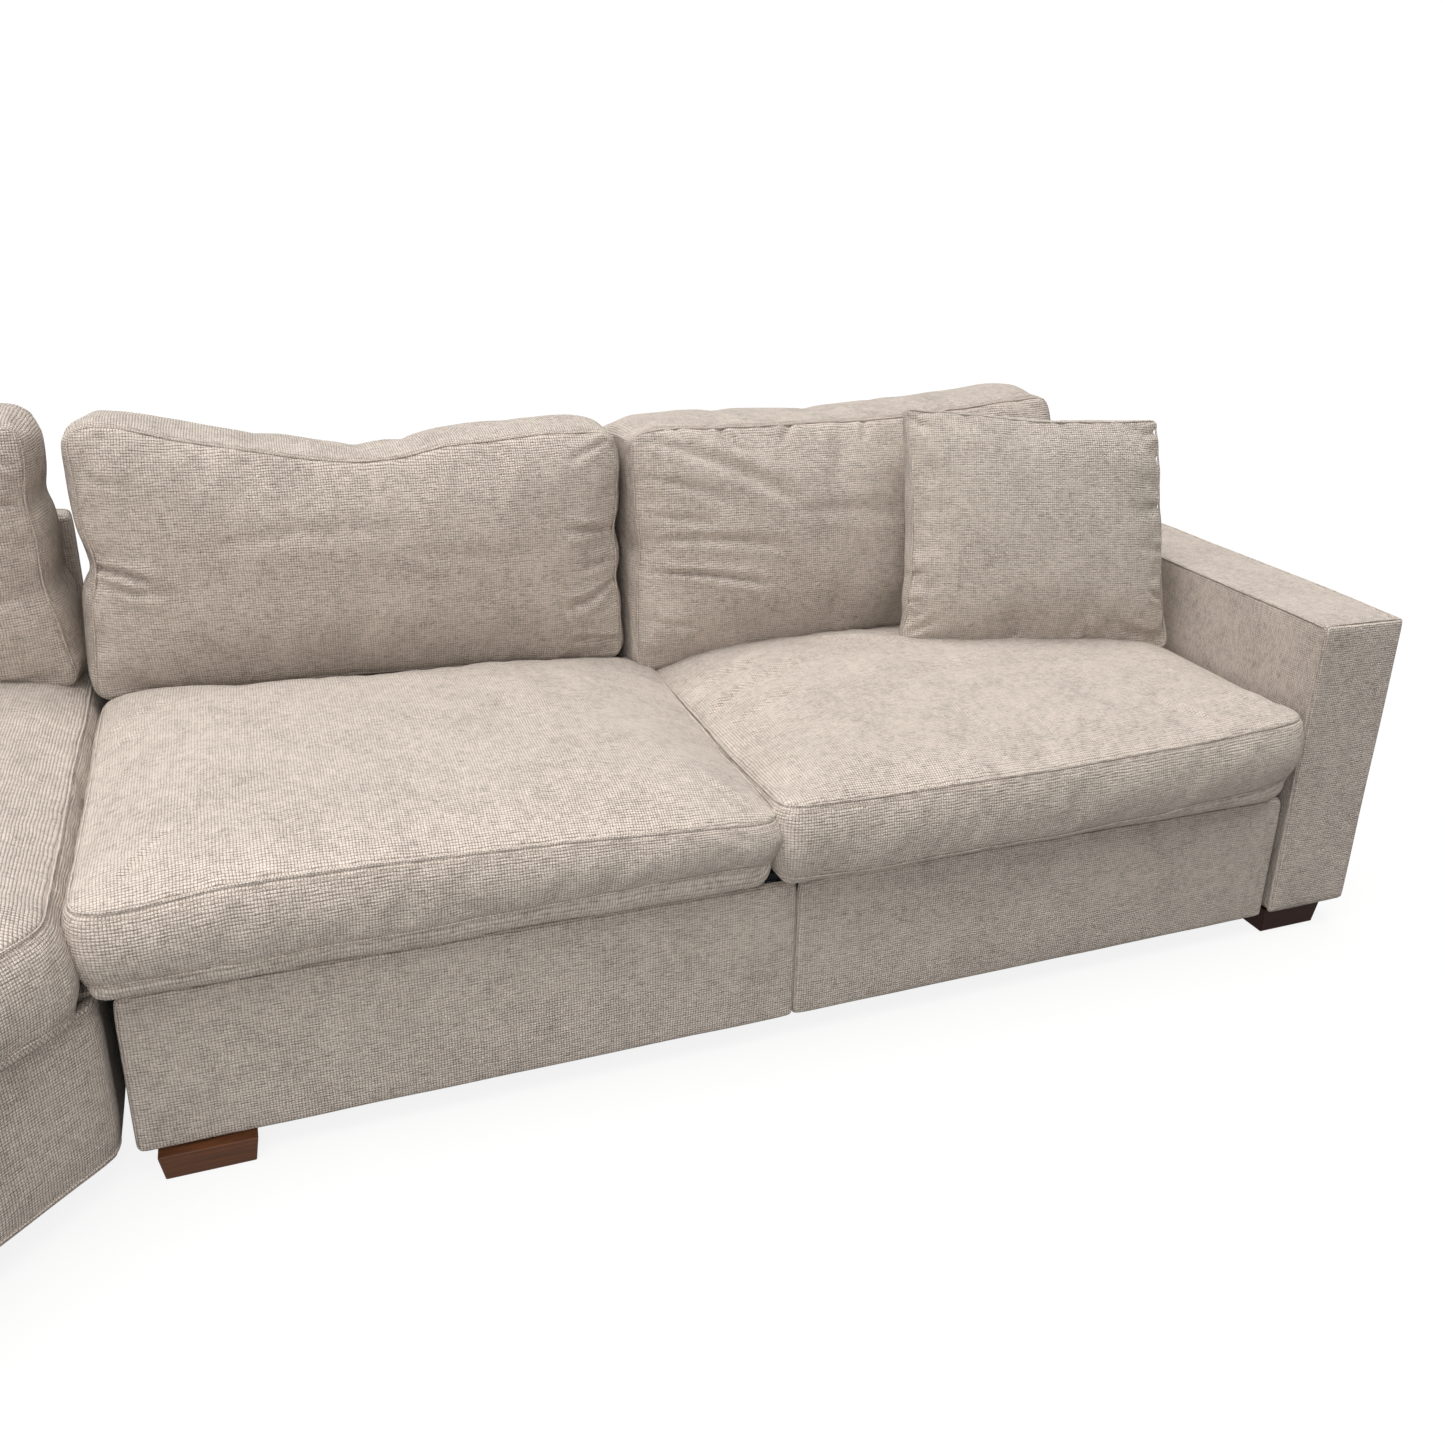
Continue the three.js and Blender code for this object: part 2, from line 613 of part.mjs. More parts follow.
function actuatorBody() {
  const { z, bodyRadius, bodyFront, bodyBack, boreBack, rodRadius, clevis, eyeHalf } = actuator;
  const { motorRadius, motorDrop, motorFront, motorBack, gearFront } = actuator;
  const sleeve = cylinderY(0, [bodyFront, bodyBack], z, bodyRadius);
  const gearbox = block([-motorRadius, motorRadius], [gearFront, bodyBack], [z - motorDrop, z + bodyRadius]);
  const motor = cylinderY(0, [motorFront, motorBack], z - motorDrop, motorRadius);
  const tubeSeat = actuatorTube.radius + seatGap;
  const lug = plateX(linkShape({ y: bodyBack, z }, actuatorTube, tubeSeat + clevis), [-eyeHalf, eyeHalf]);
  const bore = cylinderY(0, [bodyFront - overrun, boreBack], z, rodRadius + link.hole);
  return cut(join(sleeve, gearbox, motor, lug), bore, pinHole([-eyeHalf, eyeHalf], actuatorTube, tubeSeat));
}

function actuatorRod() {
  const { z, rodRadius, boreBack, eyeHalf, eyeFlank, eyeRadius, slotTravel, slotSlack } = actuator;
  const pin = crankPinAtRest();
  const low = { y: pin.y, z: z - slotTravel };
  const high = { y: pin.y, z: z + slotTravel };
  const eye = plateX(linkShape(low, high, eyeRadius), [-eyeHalf, eyeHalf]);
  const rod = cylinderY(0, [pin.y + eyeFlank, boreBack - 2 * overrun], z, rodRadius);
  const slot = plateX(linkShape(low, high, crank.pinRadius + slotSlack), [-eyeHalf - overrun, eyeHalf + overrun]);
  return cut(join(eye, rod), slot);
}

// Seat deck: a frame that lies on the mechanism plates, with sinuous springs between its rails

const deck = {
  thick: 12.7, front: 31, frontDepth: 40, back: 700, backDepth: 60, side: 46,
  springs: 4, waves: 5, wave: 22, wire: 3,
};

function seatDeck() {
  const half = seatBay / 2 - runGap;
  const levels = [deckTop - deck.thick, deckTop];
  const outer = block([-half, half], [deck.front, deck.back], levels);
  const hollow = { x: half - deck.side, y0: deck.front + deck.frontDepth, y1: deck.back - deck.backDepth };
  const hollowZ = [levels[0] - overrun, levels[1] + overrun];
  const frame = cut(outer, block([-hollow.x, hollow.x], [hollow.y0, hollow.y1], hollowZ));
  const springs = [];
  for (let i = 0; i < deck.springs; i++) {
    const x = hollow.x * ((2 * i + 1) / deck.springs - 1);
    const points = [];
    const steps = deck.waves * 4;
    for (let k = 0; k <= steps; k++) {
      const swing = deck.wave * Math.sin((k * Math.PI) / 2);
      const y = hollow.y0 - deck.wire + ((hollow.y1 - hollow.y0 + 2 * deck.wire) * k) / steps;
      points.push(new THREE.Vector3(x + swing, y, deckTop - deck.thick / 2));
    }
    const path = new THREE.CatmullRomCurve3(points);
    const section = new THREE.Shape().absarc(0, 0, deck.wire, 0, Math.PI * 2, false);
    springs.push(new THREE.ExtrudeGeometry(section, { extrudePath: path, steps, curveSegments: 2, bevelEnabled: false }));
  }
  return join(frame, ...springs);
}

// Reclining back: a padded board frame on two steel arms that turn on the hinge posts

const backFrame = {
  thick: 66, bottom: 20, height: 430, round: 24, lowRound: 12, edge: 8, wall: 22, pocket: 40, lean: 6,
};
const backArm = { width: 34, thick: 5, bottom: -6, top: 260 };
const backCushion = {
  thick: 222, bottom: 134, height: 476, roll: 46, crown: 52, draw: 9, cornerRound: 46, sideSteps: 6,
};

function backFrameBody([x0, x1]) {
  const { thick, bottom, height, round, lowRound, edge, wall, pocket } = backFrame;
  const shell = panelY(roundedRectangle([x0, x1], [bottom, bottom + height], round, lowRound), [0, thick], edge);
  const middle = (x0 + x1) / 2;
  const levels = [bottom + wall, bottom + height - wall];
  const tools = [[x0 + wall, middle - wall / 2], [middle + wall / 2, x1 - wall]].map((span) => (
    block(span, [-overrun, pocket], levels)));
  return cut(shell, ...tools);
}

function backBracket() {
  const { reach, thick } = backPost;
  const { width, bottom, top } = backArm;
  const upright = (side) => {
    const armX = [side * (reach - thick * 1.5), side * (reach - thick * 1.5 - width)].sort((a, b) => a - b);
    return block(armX, [-seatGap - backArm.thick, -seatGap], [bottom, top]);
  };
  const tube = reach - thick / 2 - runGap;
  const pins = reach + thick / 2 + runGap;
  const axis = { y: 0, z: 0 };
  return join(
    onBothSides((side) => [upright(side)]),
    cylinderX([-tube, tube], axis, backHinge.tubeRadius),
    cylinderX([-pins, pins], axis, backHinge.pinRadius));
}

// A back cushion is drawn lying down, then stood up with its crown to the front
function standingCushion([x0, x1], size) {
  const corners = rectangleCorners([x0, x1], [size.bottom, size.bottom + size.height]);
  return cushion(corners, size).rotateX(Math.PI / 2);
}

const cushionGap = 4; // between cushions and what stands beside them
const passRail = { seat: 52, back: 94 }; // how far the right cushions reach past the middle rail
const railMiddle = -seatBay - centerRailThick / 2;
const seatSplit = railMiddle - passRail.seat;
const backSplit = railMiddle - passRail.back;
const cushionMeet = loveseatEnd - 17; // where the cushions of the seats and of the wedge meet
const meetGap = 3; // from that line to each of them
const backCushionEnd = 96; // the right back cushion stops short of the arm
const seatCushion = {
  front: -34, back: 700, thick: 160, roll: 54, crown: 26, draw: 8, cornerRound: 34, sideSteps: 6, armGap: 26,
};

const seats = {
  right: {
    cushion: [seatSplit, arm.inner - cushionGap],
    frontInset: seatCushion.armGap,
    back: [backSplit + cushionGap, -cushionGap - runGap],
    backCushion: [backSplit + cushionGap, -backCushionEnd],
  },
  left: {
    cushion: [cushionMeet + meetGap, seatSplit - cushionGap],
    frontInset: 0,
    back: [loveseatEnd + meetGap, backSplit - cushionGap],
    backCushion: [cushionMeet + meetGap, backSplit - cushionGap],
  },
};

function recliningSeat(name, { cushion: cushionX, frontInset, back, backCushion: backCushionX }) {
  const seat = new THREE.Group();
  seat.position.x = bayCenters[name];
  seat.add(
    named(`${name}_mechanism_base`, mechanismBase(), steel),
    named(`${name}_lift_links`, liftLinks(), steel),
    named(`${name}_guide_links`, guideLinks(), steel),
    named(`${name}_extension_links`, extensionLinks(), steel),
    named(`${name}_control_links`, controlLinks(), steel),
    named(`${name}_footrest_bracket`, footrestBrackets(), steel),
    named(`${name}_footrest_panel`, footrestPanel(panelShift[name]), fabric),
    named(`${name}_actuator_body`, actuatorBody(), plastic),
    named(`${name}_actuator_rod`, actuatorRod(), steel),
    named(`${name}_seat_deck`, seatDeck(), board));

  const shifted = (span) => span.map((x) => x - bayCenters[name]);
  const seatCorners = rectangleCorners(shifted(cushionX), [seatCushion.front, seatCushion.back]);
  seatCorners[1].x -= frontInset;
  const seatPad = named(`${name}_seat_cushion`, cushion(seatCorners, seatCushion), fabric);
  seatPad.position.z = deckTop + seatGap;
  seat.add(seatPad);

  const backGroup = new THREE.Group();
  backGroup.position.set(0, backHinge.y, backHinge.z);
  backGroup.rotation.x = -THREE.MathUtils.degToRad(backFrame.lean);
  const backPad = named(`${name}_back_cushion`, standingCushion(shifted(backCushionX), backCushion), fabric);
  backPad.position.y = -2 * seatGap - backArm.thick;
  backGroup.add(
    named(`${name}_back_frame`, backFrameBody(shifted(back)), fabric),
    named(`${name}_back_bracket`, backBracket(), steel),
    backPad);
  seat.add(backGroup);
  return seat;
}

// Corner wedge: a base with a straight front at 45 degrees, and a back along two walls

const wedgeFoot = { width: 90, inset: 30, cornerInset: 60 };
const wedgeSeat = {
  overhang: 34, underBack: 60, thick: 160, roll: 54, crown: 24, draw: 8, cornerRound: 60, sideSteps: 5,
};
const wedgeBackCushion = {
  thick: 222, bottom: 180, height: 462, end: 30, roll: 46, crown: 52, draw: 9, cornerRound: 46, sideSteps: 6,
};

function wedgeBase() {
  const { rail, leg, coverRound } = wedge;
  const levels = [frameLift, baseTop];
  const back = sofaDepth;
  const slant = rail * Math.SQRT2;
  const setBack = wedge.nose * Math.tan(Math.PI / 8);
  const plan = new THREE.Shape();
  plan.moveTo(wedgeRight - leg, -leg);
  plan.lineTo(wedgeRight - setBack * Math.SQRT1_2, -setBack * Math.SQRT1_2);
  plan.quadraticCurveTo(wedgeRight, 0, wedgeRight, setBack);
  plan.lineTo(wedgeRight, slant);
  plan.lineTo(wedgeRight - leg - slant, -leg);
  const rearEnd = back - rail - seatGap;
  const endX = [wedgeLeft + rail + seatGap, wedgeRight - leg - slant - seatGap];
  const rear = panelY(roundedRectangle([wedgeLeft, wedgeRight], levels, coverRound), [back - rail, back], frontPanel.edge);
  return [
    named('wedge_front_rail', slabZ(plan, levels), fabric),
    named('wedge_right_rail', block([wedgeRight - rail, wedgeRight], [slant + seatGap, rearEnd], levels), fabric),
    named('wedge_rear_rail', rear, fabric),
    named('wedge_left_rail', block([wedgeLeft, wedgeLeft + rail], [-leg, rearEnd], levels), fabric),
    named('wedge_end_rail', block(endX, [-leg, rail - leg], levels), fabric),
  ];
}

function wedgeDeck() {
  const { rail, leg } = wedge;
  const slant = rail * Math.SQRT2 + seatGap * Math.SQRT2;
  const inset = rail + seatGap;
  const x0 = wedgeLeft + inset;
  const x1 = wedgeRight - inset;
  const y0 = inset - leg;
  const y1 = sofaDepth - inset;
  const shape = polygon([[x1, slant + inset], [x1, y1], [x0, y1], [x0, y0], [wedgeRight - leg - slant - inset, y0]]);
  return named('wedge_deck', slabZ(shape, [baseTop - boardThick, baseTop]), board);
}

function wedgeBacks() {
  const { backThick, backTop, backEnd, coverRound, leg } = wedge;
  const bottom = baseTop + seatGap;
  const rightEnd = cushionMeet - meetGap - backEnd;
  const rear = panelY(roundedRectangle([wedgeLeft, rightEnd], [bottom, backTop], coverRound),
    [sofaDepth - backThick, sofaDepth], backFrame.edge);
  const sideShape = roundedRectangle([0, wedgeSpan - backThick - seatGap], [bottom, backTop], coverRound);
  const side = panelY(sideShape, [0, backThick], backFrame.edge);
  side.rotateZ(Math.PI / 2).translate(wedgeLeft + backThick, -leg, 0);
  return [named('wedge_rear_back', rear, fabric), named('wedge_side_back', side, fabric)];
}

function wedgeCushions() {
  const { leg } = wedge;
  const { underBack } = wedgeSeat;
  const { thick, end } = wedgeBackCushion;
  const cushionRear = sofaDepth - wedge.backThick - seatGap;
  const cushionLeft = wedgeLeft + wedge.backThick + seatGap;
  const level = baseTop + 2 * seatGap;
  const x1 = cushionMeet - meetGap;
  const overhang = wedgeSeat.overhang * Math.SQRT2;
  const y0 = cushionGap - leg;
  const plan = [
    [x1, x1 - wedgeRight - overhang], [x1, cushionRear - underBack], [cushionLeft + underBack, cushionRear - underBack],
    [cushionLeft + underBack, y0], [wedgeRight + overhang + y0, y0],
  ].map(([x, y]) => new THREE.Vector2(x, y));
  const seatPad = named('wedge_seat_cushion', cushion(plan, wedgeSeat), fabric);
  seatPad.position.z = level;
  const rearX = [cushionLeft + thick + cushionGap, wedgeRight - end];
  const rear = named('wedge_rear_cushion', standingCushion(rearX, wedgeBackCushion), fabric);
  rear.position.set(0, cushionRear, level);
  const sideX = [0, cushionRear - thick + leg - 2 * cushionGap];
  const side = named('wedge_side_cushion', standingCushion(sideX, wedgeBackCushion), fabric);
  side.position.set(cushionLeft, y0, level);
  side.rotation.z = Math.PI / 2;
  return [seatPad, rear, side];
}

function wedgeFeet() {
  const { width, inset } = wedgeFoot;
  const top = frameLift - seatGap;
  const at = (name, x, y) => foot(name, [x, x + width], [y, y + width], top);
  const back = sofaDepth - inset / 2 - width;
  return [
    at('wedge_front_right_foot', wedgeRight - inset / 2 - width, wedgeFoot.cornerInset + inset),
    at('wedge_front_left_foot', wedgeRight - wedge.leg - wedgeFoot.cornerInset - width - inset, inset / 2 - wedge.leg),
    at('wedge_rear_right_foot', wedgeRight - inset - width, back),
    at('wedge_rear_left_foot', wedgeLeft + inset / 2, back),
  ];
}

// Connector between the two sections: a tongue on the seats drops between two guides on the wedge

const connector = { plate: 1.5, width: 60, y: 420, bottom: 120, height: 90, drop: 20, tongue: 1.8, guide: 12, lift: 40 };

function connectors() {
  const { plate, width, y, bottom, height, drop, tongue, guide, lift } = connector;
  const span = [y, y + width];
  const inner = loveseatEnd - seatGap;
  const outer = wedgeRight + seatGap;
  const tongueX = (inner + outer) / 2 - tongue / 2;
  const tongueSpan = [y + guide + seatGap, y + width - guide - seatGap];
  const shelf = bottom + height + runGap;
  const hook = join(
    block([inner - plate, inner], span, [bottom + lift, shelf + lift]),
    block([tongueX, inner - plate / 2], tongueSpan, [shelf, shelf + plate]),
    block([tongueX, tongueX + tongue], tongueSpan, [bottom + drop, shelf + plate / 2]));
  const guideX = [outer + plate / 2, tongueX + tongue];
  const keeper = join(
    block([outer, outer + plate], span, [bottom, bottom + height]),
    block(guideX, [y, y + guide], [bottom, bottom + height]),
    block(guideX, [y + width - guide, y + width], [bottom, bottom + height]));
  return [named('connector_hook', hook, steel), named('connector_keeper', keeper, steel)];
}

const powerBox = { x: -1400, width: 170, depth: 44, bottom: 150, height: 62, round: 8 };

function powerSupply() {
  const { x, width, depth, bottom, height, round } = powerBox;
  const back = sofaDepth - wedge.rail - seatGap;
  const shape = roundedRectangle([x, x + width], [bottom, bottom + height], round, round);
  return named('power_supply', panelY(shape, [back - depth, back], round / 2), plastic);
}

// Loose pillow that leans on the right back cushion

const pillow = {
  width: 540, height: 460, thick: 150, corner: 0.16, lean: 14, turn: -8, x: -300, y: 500, lowEdge: 488.83,
};
const pillowSteps = { around: 32, rings: 5 };

function throwPillow() {
  const { width, height, thick } = pillow;
  const { around, rings } = pillowSteps;
  const positions = [];
  const index = [];
  const face = (sign, skipRim) => {
    const base = positions.length / 3;
    for (let r = skipRim ? 1 : 0; r < rings; r++) {
      const share = 1 - r / rings;
      for (let i = 0; i < around; i++) {
        const angle = (i / around) * Math.PI * 2;
        const [c, s] = [Math.cos(angle), Math.sin(angle)];
        const square = 1 / Math.max(Math.abs(c), Math.abs(s));
        const pinch = 1 - pillow.corner * (1 - Math.pow(Math.abs(Math.sin(2 * angle)), 2)) * share;
        const puff = Math.pow(1 - Math.pow(share, 2.4), 0.6) / 2;
        positions.push(c * square * share * pinch * width / 2, sign * puff * thick, s * square * share * pinch * height / 2);
      }
    }
    positions.push(0, sign * thick / 2, 0);
    return base;
  };
  face(-1, false);
  face(1, true);
  const tip = rings * around;
  const backStart = tip + 1;
  const ringStart = (sign, r) => (sign < 0 || r === 0 ? r * around : backStart + (r - 1) * around);
  for (const sign of [-1, 1]) {
    const end = sign < 0 ? tip : positions.length / 3 - 1;
    for (let i = 0; i < around; i++) {
      const j = (i + 1) % around;
      for (let r = 0; r < rings; r++) {
        const a = ringStart(sign, r) + i;
        const b = ringStart(sign, r) + j;
        const last = r === rings - 1;
        const c = last ? end : ringStart(sign, r + 1) + j;
        const d = last ? end : ringStart(sign, r + 1) + i;
        const faces = last ? [[a, b, c]] : [[a, b, c], [a, c, d]];
        faces.forEach((f) => index.push(...(sign < 0 ? f : [...f].reverse())));
      }
    }
  }
  const geometry = new THREE.BufferGeometry();
  geometry.setAttribute('position', new THREE.Float32BufferAttribute(positions, 3));
  geometry.setIndex(index);
  const mesh = named('throw_pillow', geometry, material(colors.pillow));
  const lean = THREE.MathUtils.degToRad(pillow.lean);
  mesh.position.set(pillow.x, pillow.y, pillow.lowEdge + (height / 2) * Math.cos(lean));
  mesh.rotation.set(-lean, 0, THREE.MathUtils.degToRad(pillow.turn), 'ZXY');
  return mesh;
}

// Whole sofa, moved so that the origin is on the floor under the middle of its outline

const sofa = new THREE.Group();
sofa.add(
  rightArm(), leftWall(), centerRail(), frontStretcher(), rearRail(), ...seatFeet(),
  switchPlateBody(),
  rockerBody('right_seat_rocker', rockerMiddles.right), rockerBody('left_seat_rocker', rockerMiddles.left),
  recliningSeat('right', seats.right), recliningSeat('left', seats.left), throwPillow(), powerSupply(),
  ...connectors(), ...wedgeBase(), wedgeDeck(), ...wedgeBacks(), ...wedgeCushions(), ...wedgeFeet());

sofa.updateMatrixWorld(true);
const bounds = new THREE.Box3().setFromObject(sofa, true);
sofa.position.set(-(bounds.min.x + bounds.max.x) / 2, -(bounds.min.y + bounds.max.y) / 2, -bounds.min.z);

export default sofa;
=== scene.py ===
import json
import math
from functools import partial

import bmesh
import bpy
import numpy as np
from bpy.props import FloatProperty, FloatVectorProperty, IntProperty, PointerProperty
from mathutils import Matrix, Vector
from mathutils.bvhtree import BVHTree

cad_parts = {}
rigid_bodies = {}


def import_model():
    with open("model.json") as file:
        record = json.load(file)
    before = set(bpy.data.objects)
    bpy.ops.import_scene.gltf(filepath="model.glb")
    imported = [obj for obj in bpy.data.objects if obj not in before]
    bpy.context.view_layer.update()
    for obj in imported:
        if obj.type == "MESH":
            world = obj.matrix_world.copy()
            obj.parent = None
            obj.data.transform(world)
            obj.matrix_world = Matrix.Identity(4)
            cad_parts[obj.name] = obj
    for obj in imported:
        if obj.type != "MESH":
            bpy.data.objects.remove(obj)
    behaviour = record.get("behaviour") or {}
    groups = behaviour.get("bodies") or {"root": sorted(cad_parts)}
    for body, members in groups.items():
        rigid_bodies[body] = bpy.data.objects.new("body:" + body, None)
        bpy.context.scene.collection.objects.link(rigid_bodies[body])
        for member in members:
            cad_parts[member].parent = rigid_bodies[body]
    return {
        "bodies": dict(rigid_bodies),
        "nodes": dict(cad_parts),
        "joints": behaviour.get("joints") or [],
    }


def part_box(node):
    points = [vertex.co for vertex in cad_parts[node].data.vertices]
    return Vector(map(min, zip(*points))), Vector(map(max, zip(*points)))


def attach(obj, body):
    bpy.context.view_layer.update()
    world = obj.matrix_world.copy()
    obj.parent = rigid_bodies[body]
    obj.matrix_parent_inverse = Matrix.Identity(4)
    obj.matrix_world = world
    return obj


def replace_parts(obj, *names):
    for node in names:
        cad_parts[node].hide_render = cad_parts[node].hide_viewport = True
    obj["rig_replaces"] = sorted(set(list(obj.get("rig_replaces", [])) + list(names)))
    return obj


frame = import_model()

bl_info = {
    "name": "Reclining sectional sofa",
    "version": (1, 0, 0),
    "blender": (4, 5, 0),
    "location": "View3D > Sidebar > Sofa",
    "description": "Builds the upholstery, wood and metal of a reclining sectional sofa on its CAD frame",
    "category": "Object",
}

SEATS = ("right", "left")
ARM_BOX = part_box("right_arm")
STAND = Matrix.Rotation(math.radians(90), 4, "X")  # a form drawn lying down, stood up to face the front
SIDEWAYS = Matrix.Rotation(math.radians(90), 4, "Z") @ STAND


def linear(code):
    """Linear RGB of an sRGB hex colour."""
    parts = [int(code[i : i + 2], 16) / 255 for i in (1, 3, 5)]
    return tuple(c / 12.92 if c <= 0.04045 else ((c + 0.055) / 1.055) ** 2.4 for c in parts)


CAMERA_PLACE = Vector((ARM_BOX[1].x - 1.9367, ARM_BOX[0].y - 1.6673, 1.3498))
CAMERA_RIGHT = (0.922831, -0.382957, 0.041568)
CAMERA_FORWARD = (0.370259, 0.852073, -0.369973)
CAMERA_SHIFT = (-0.0492, -0.0183)


# Settings


def color(name, code, text):
    """Setting of a colour, given as sRGB hex."""
    return FloatVectorProperty(
        name=name, description=text, default=linear(code), size=3, subtype="COLOR", min=0, max=1)


def number(name, default, text, low=0.0, **limits):
    return FloatProperty(name=name, description=text, default=default, min=low, **limits)


length = partial(number, unit="LENGTH")


class UpholsterySettings(bpy.types.PropertyGroup):
    """Sizes and colours of the cushions and of the covered frame"""

    seat_color: color("Cover colour", "#CDC0B4", "Colour of the chenille threads")
    pillow_color: color("Pillow colour", "#C9BDB1", "Colour of the loose pillow's threads")
    thread_pitch: length("Thread pitch", 0.0042, "Distance from one chenille thread to the next", low=0.001)
    cell: length("Cloth cell", 0.02, "Edge of one cell of the cover while it is simulated", low=0.005)
    swell_cap: length("Swell limit", 0.022, "Furthest that the filling may push a point of a cover")
    filling: number("Filling pressure", 4.0, "Pressure of the filling while a cover is simulated")
    frames: IntProperty(
        name="Simulated frames", description="Frames that a cover is simulated for", default=20, min=2)
    seam_width: length("Seam width", 0.0052, "Width of the folded seam along the cushions", low=0.001)
    stitch_pitch: length("Stitch pitch", 0.0052, "Distance from one stitch to the next", low=0.001)


class TrimSettings(bpy.types.PropertyGroup):
    """Colours of the wood and steel parts"""

    walnut_color: color("Walnut", "#56321C", "Brown stain of the feet under the left seat")
    espresso_color: color("Dark wood", "#2E1712", "Dark stain of the other feet")
    steel_color: color("Enamel", "#26282B", "Black enamel of the mechanism")
    foot_bevel: length("Foot bevel", 0.0025, "Rounding of the edges of the feet")


class StudioSettings(bpy.types.PropertyGroup):
    """Camera and light"""

    lens: number("Lens", 32.68, "Focal length of the camera in millimetres", low=1)
    top_light: number("Top light", 3.32, "Strength of the soft light above")
    side_light: number("Side light", 0.5, "Strength of the soft light from the left")
    corner_light: number("Corner light", 16.0, "Power of the soft lamp before the corner wedge, in watts")
    surround: number("Surround", 0.29, "Strength of the even light from all sides")
    floor_color: color("Floor", "#F3F2F0", "Colour of the plain floor")
    floor_bounce: number("Floor bounce", 0.25, "Share of its light that the floor throws back on the sofa", max=1)
    floor_white: number("Floor white", 0.86, "Share of plain white in the floor that the camera sees", max=1)


def upholstery():
    return bpy.context.scene.sofa_upholstery


def trim():
    return bpy.context.scene.sofa_trim


# Node trees


def feed(node, inputs):
    """Sets or links inputs of a node, given in their order, or by name or number."""
    for key, value in inputs.items() if isinstance(inputs, dict) else enumerate(inputs):
        socket = node.inputs[key]
        if isinstance(value, bpy.types.NodeSocket):
            node.id_data.links.new(value, socket)
        else:
            socket.default_value = (*value, 1) if socket.type == "RGBA" and len(value) == 3 else value


def add(tree, kind, inputs=(), out=0, **settings):
    """Adds a node with its settings and inputs, and gives one of its outputs. The kind's second
    word is the node's operation."""
    kind, *operation = kind.split()
    made = tree.nodes.new(kind if "Node" in kind else f"ShaderNode{kind}")
    if operation:
        made.operation = operation[0]
    for key, value in settings.items():
        setattr(made, key, value)
    feed(made, inputs)
    return made.outputs[out] if made.outputs else made


def new_material(name):
    """An empty material, the function that adds nodes to it, and its principled shader."""
    material = bpy.data.materials.new(name)
    material.use_nodes = True
    tree = material.node_tree
    tree.nodes.clear()
    node = partial(add, tree)
    shader = node("BsdfPrincipled").node
    node("OutputMaterial", (shader.outputs["BSDF"],))
    return material, node, shader


def dress(node, shader, color, rough, relief, strength, distance):
    """Gives a shader its colour, its roughness, and a relief that its light follows."""
    bump = node("Bump", {"Height": relief, "Strength": strength, "Distance": distance})
    feed(shader, {"Base Color": color, "Roughness": rough, "Normal": bump})


def colored(ramp, stops):
    """Gives a colour ramp its stops. A stop is (position, colour)."""
    elements = ramp.node.color_ramp.elements
    for i, (position, color) in enumerate(stops):
        stop = elements[i] if i < 2 else elements.new(position)
        stop.position, stop.color = position, (*color, 1)
    return ramp


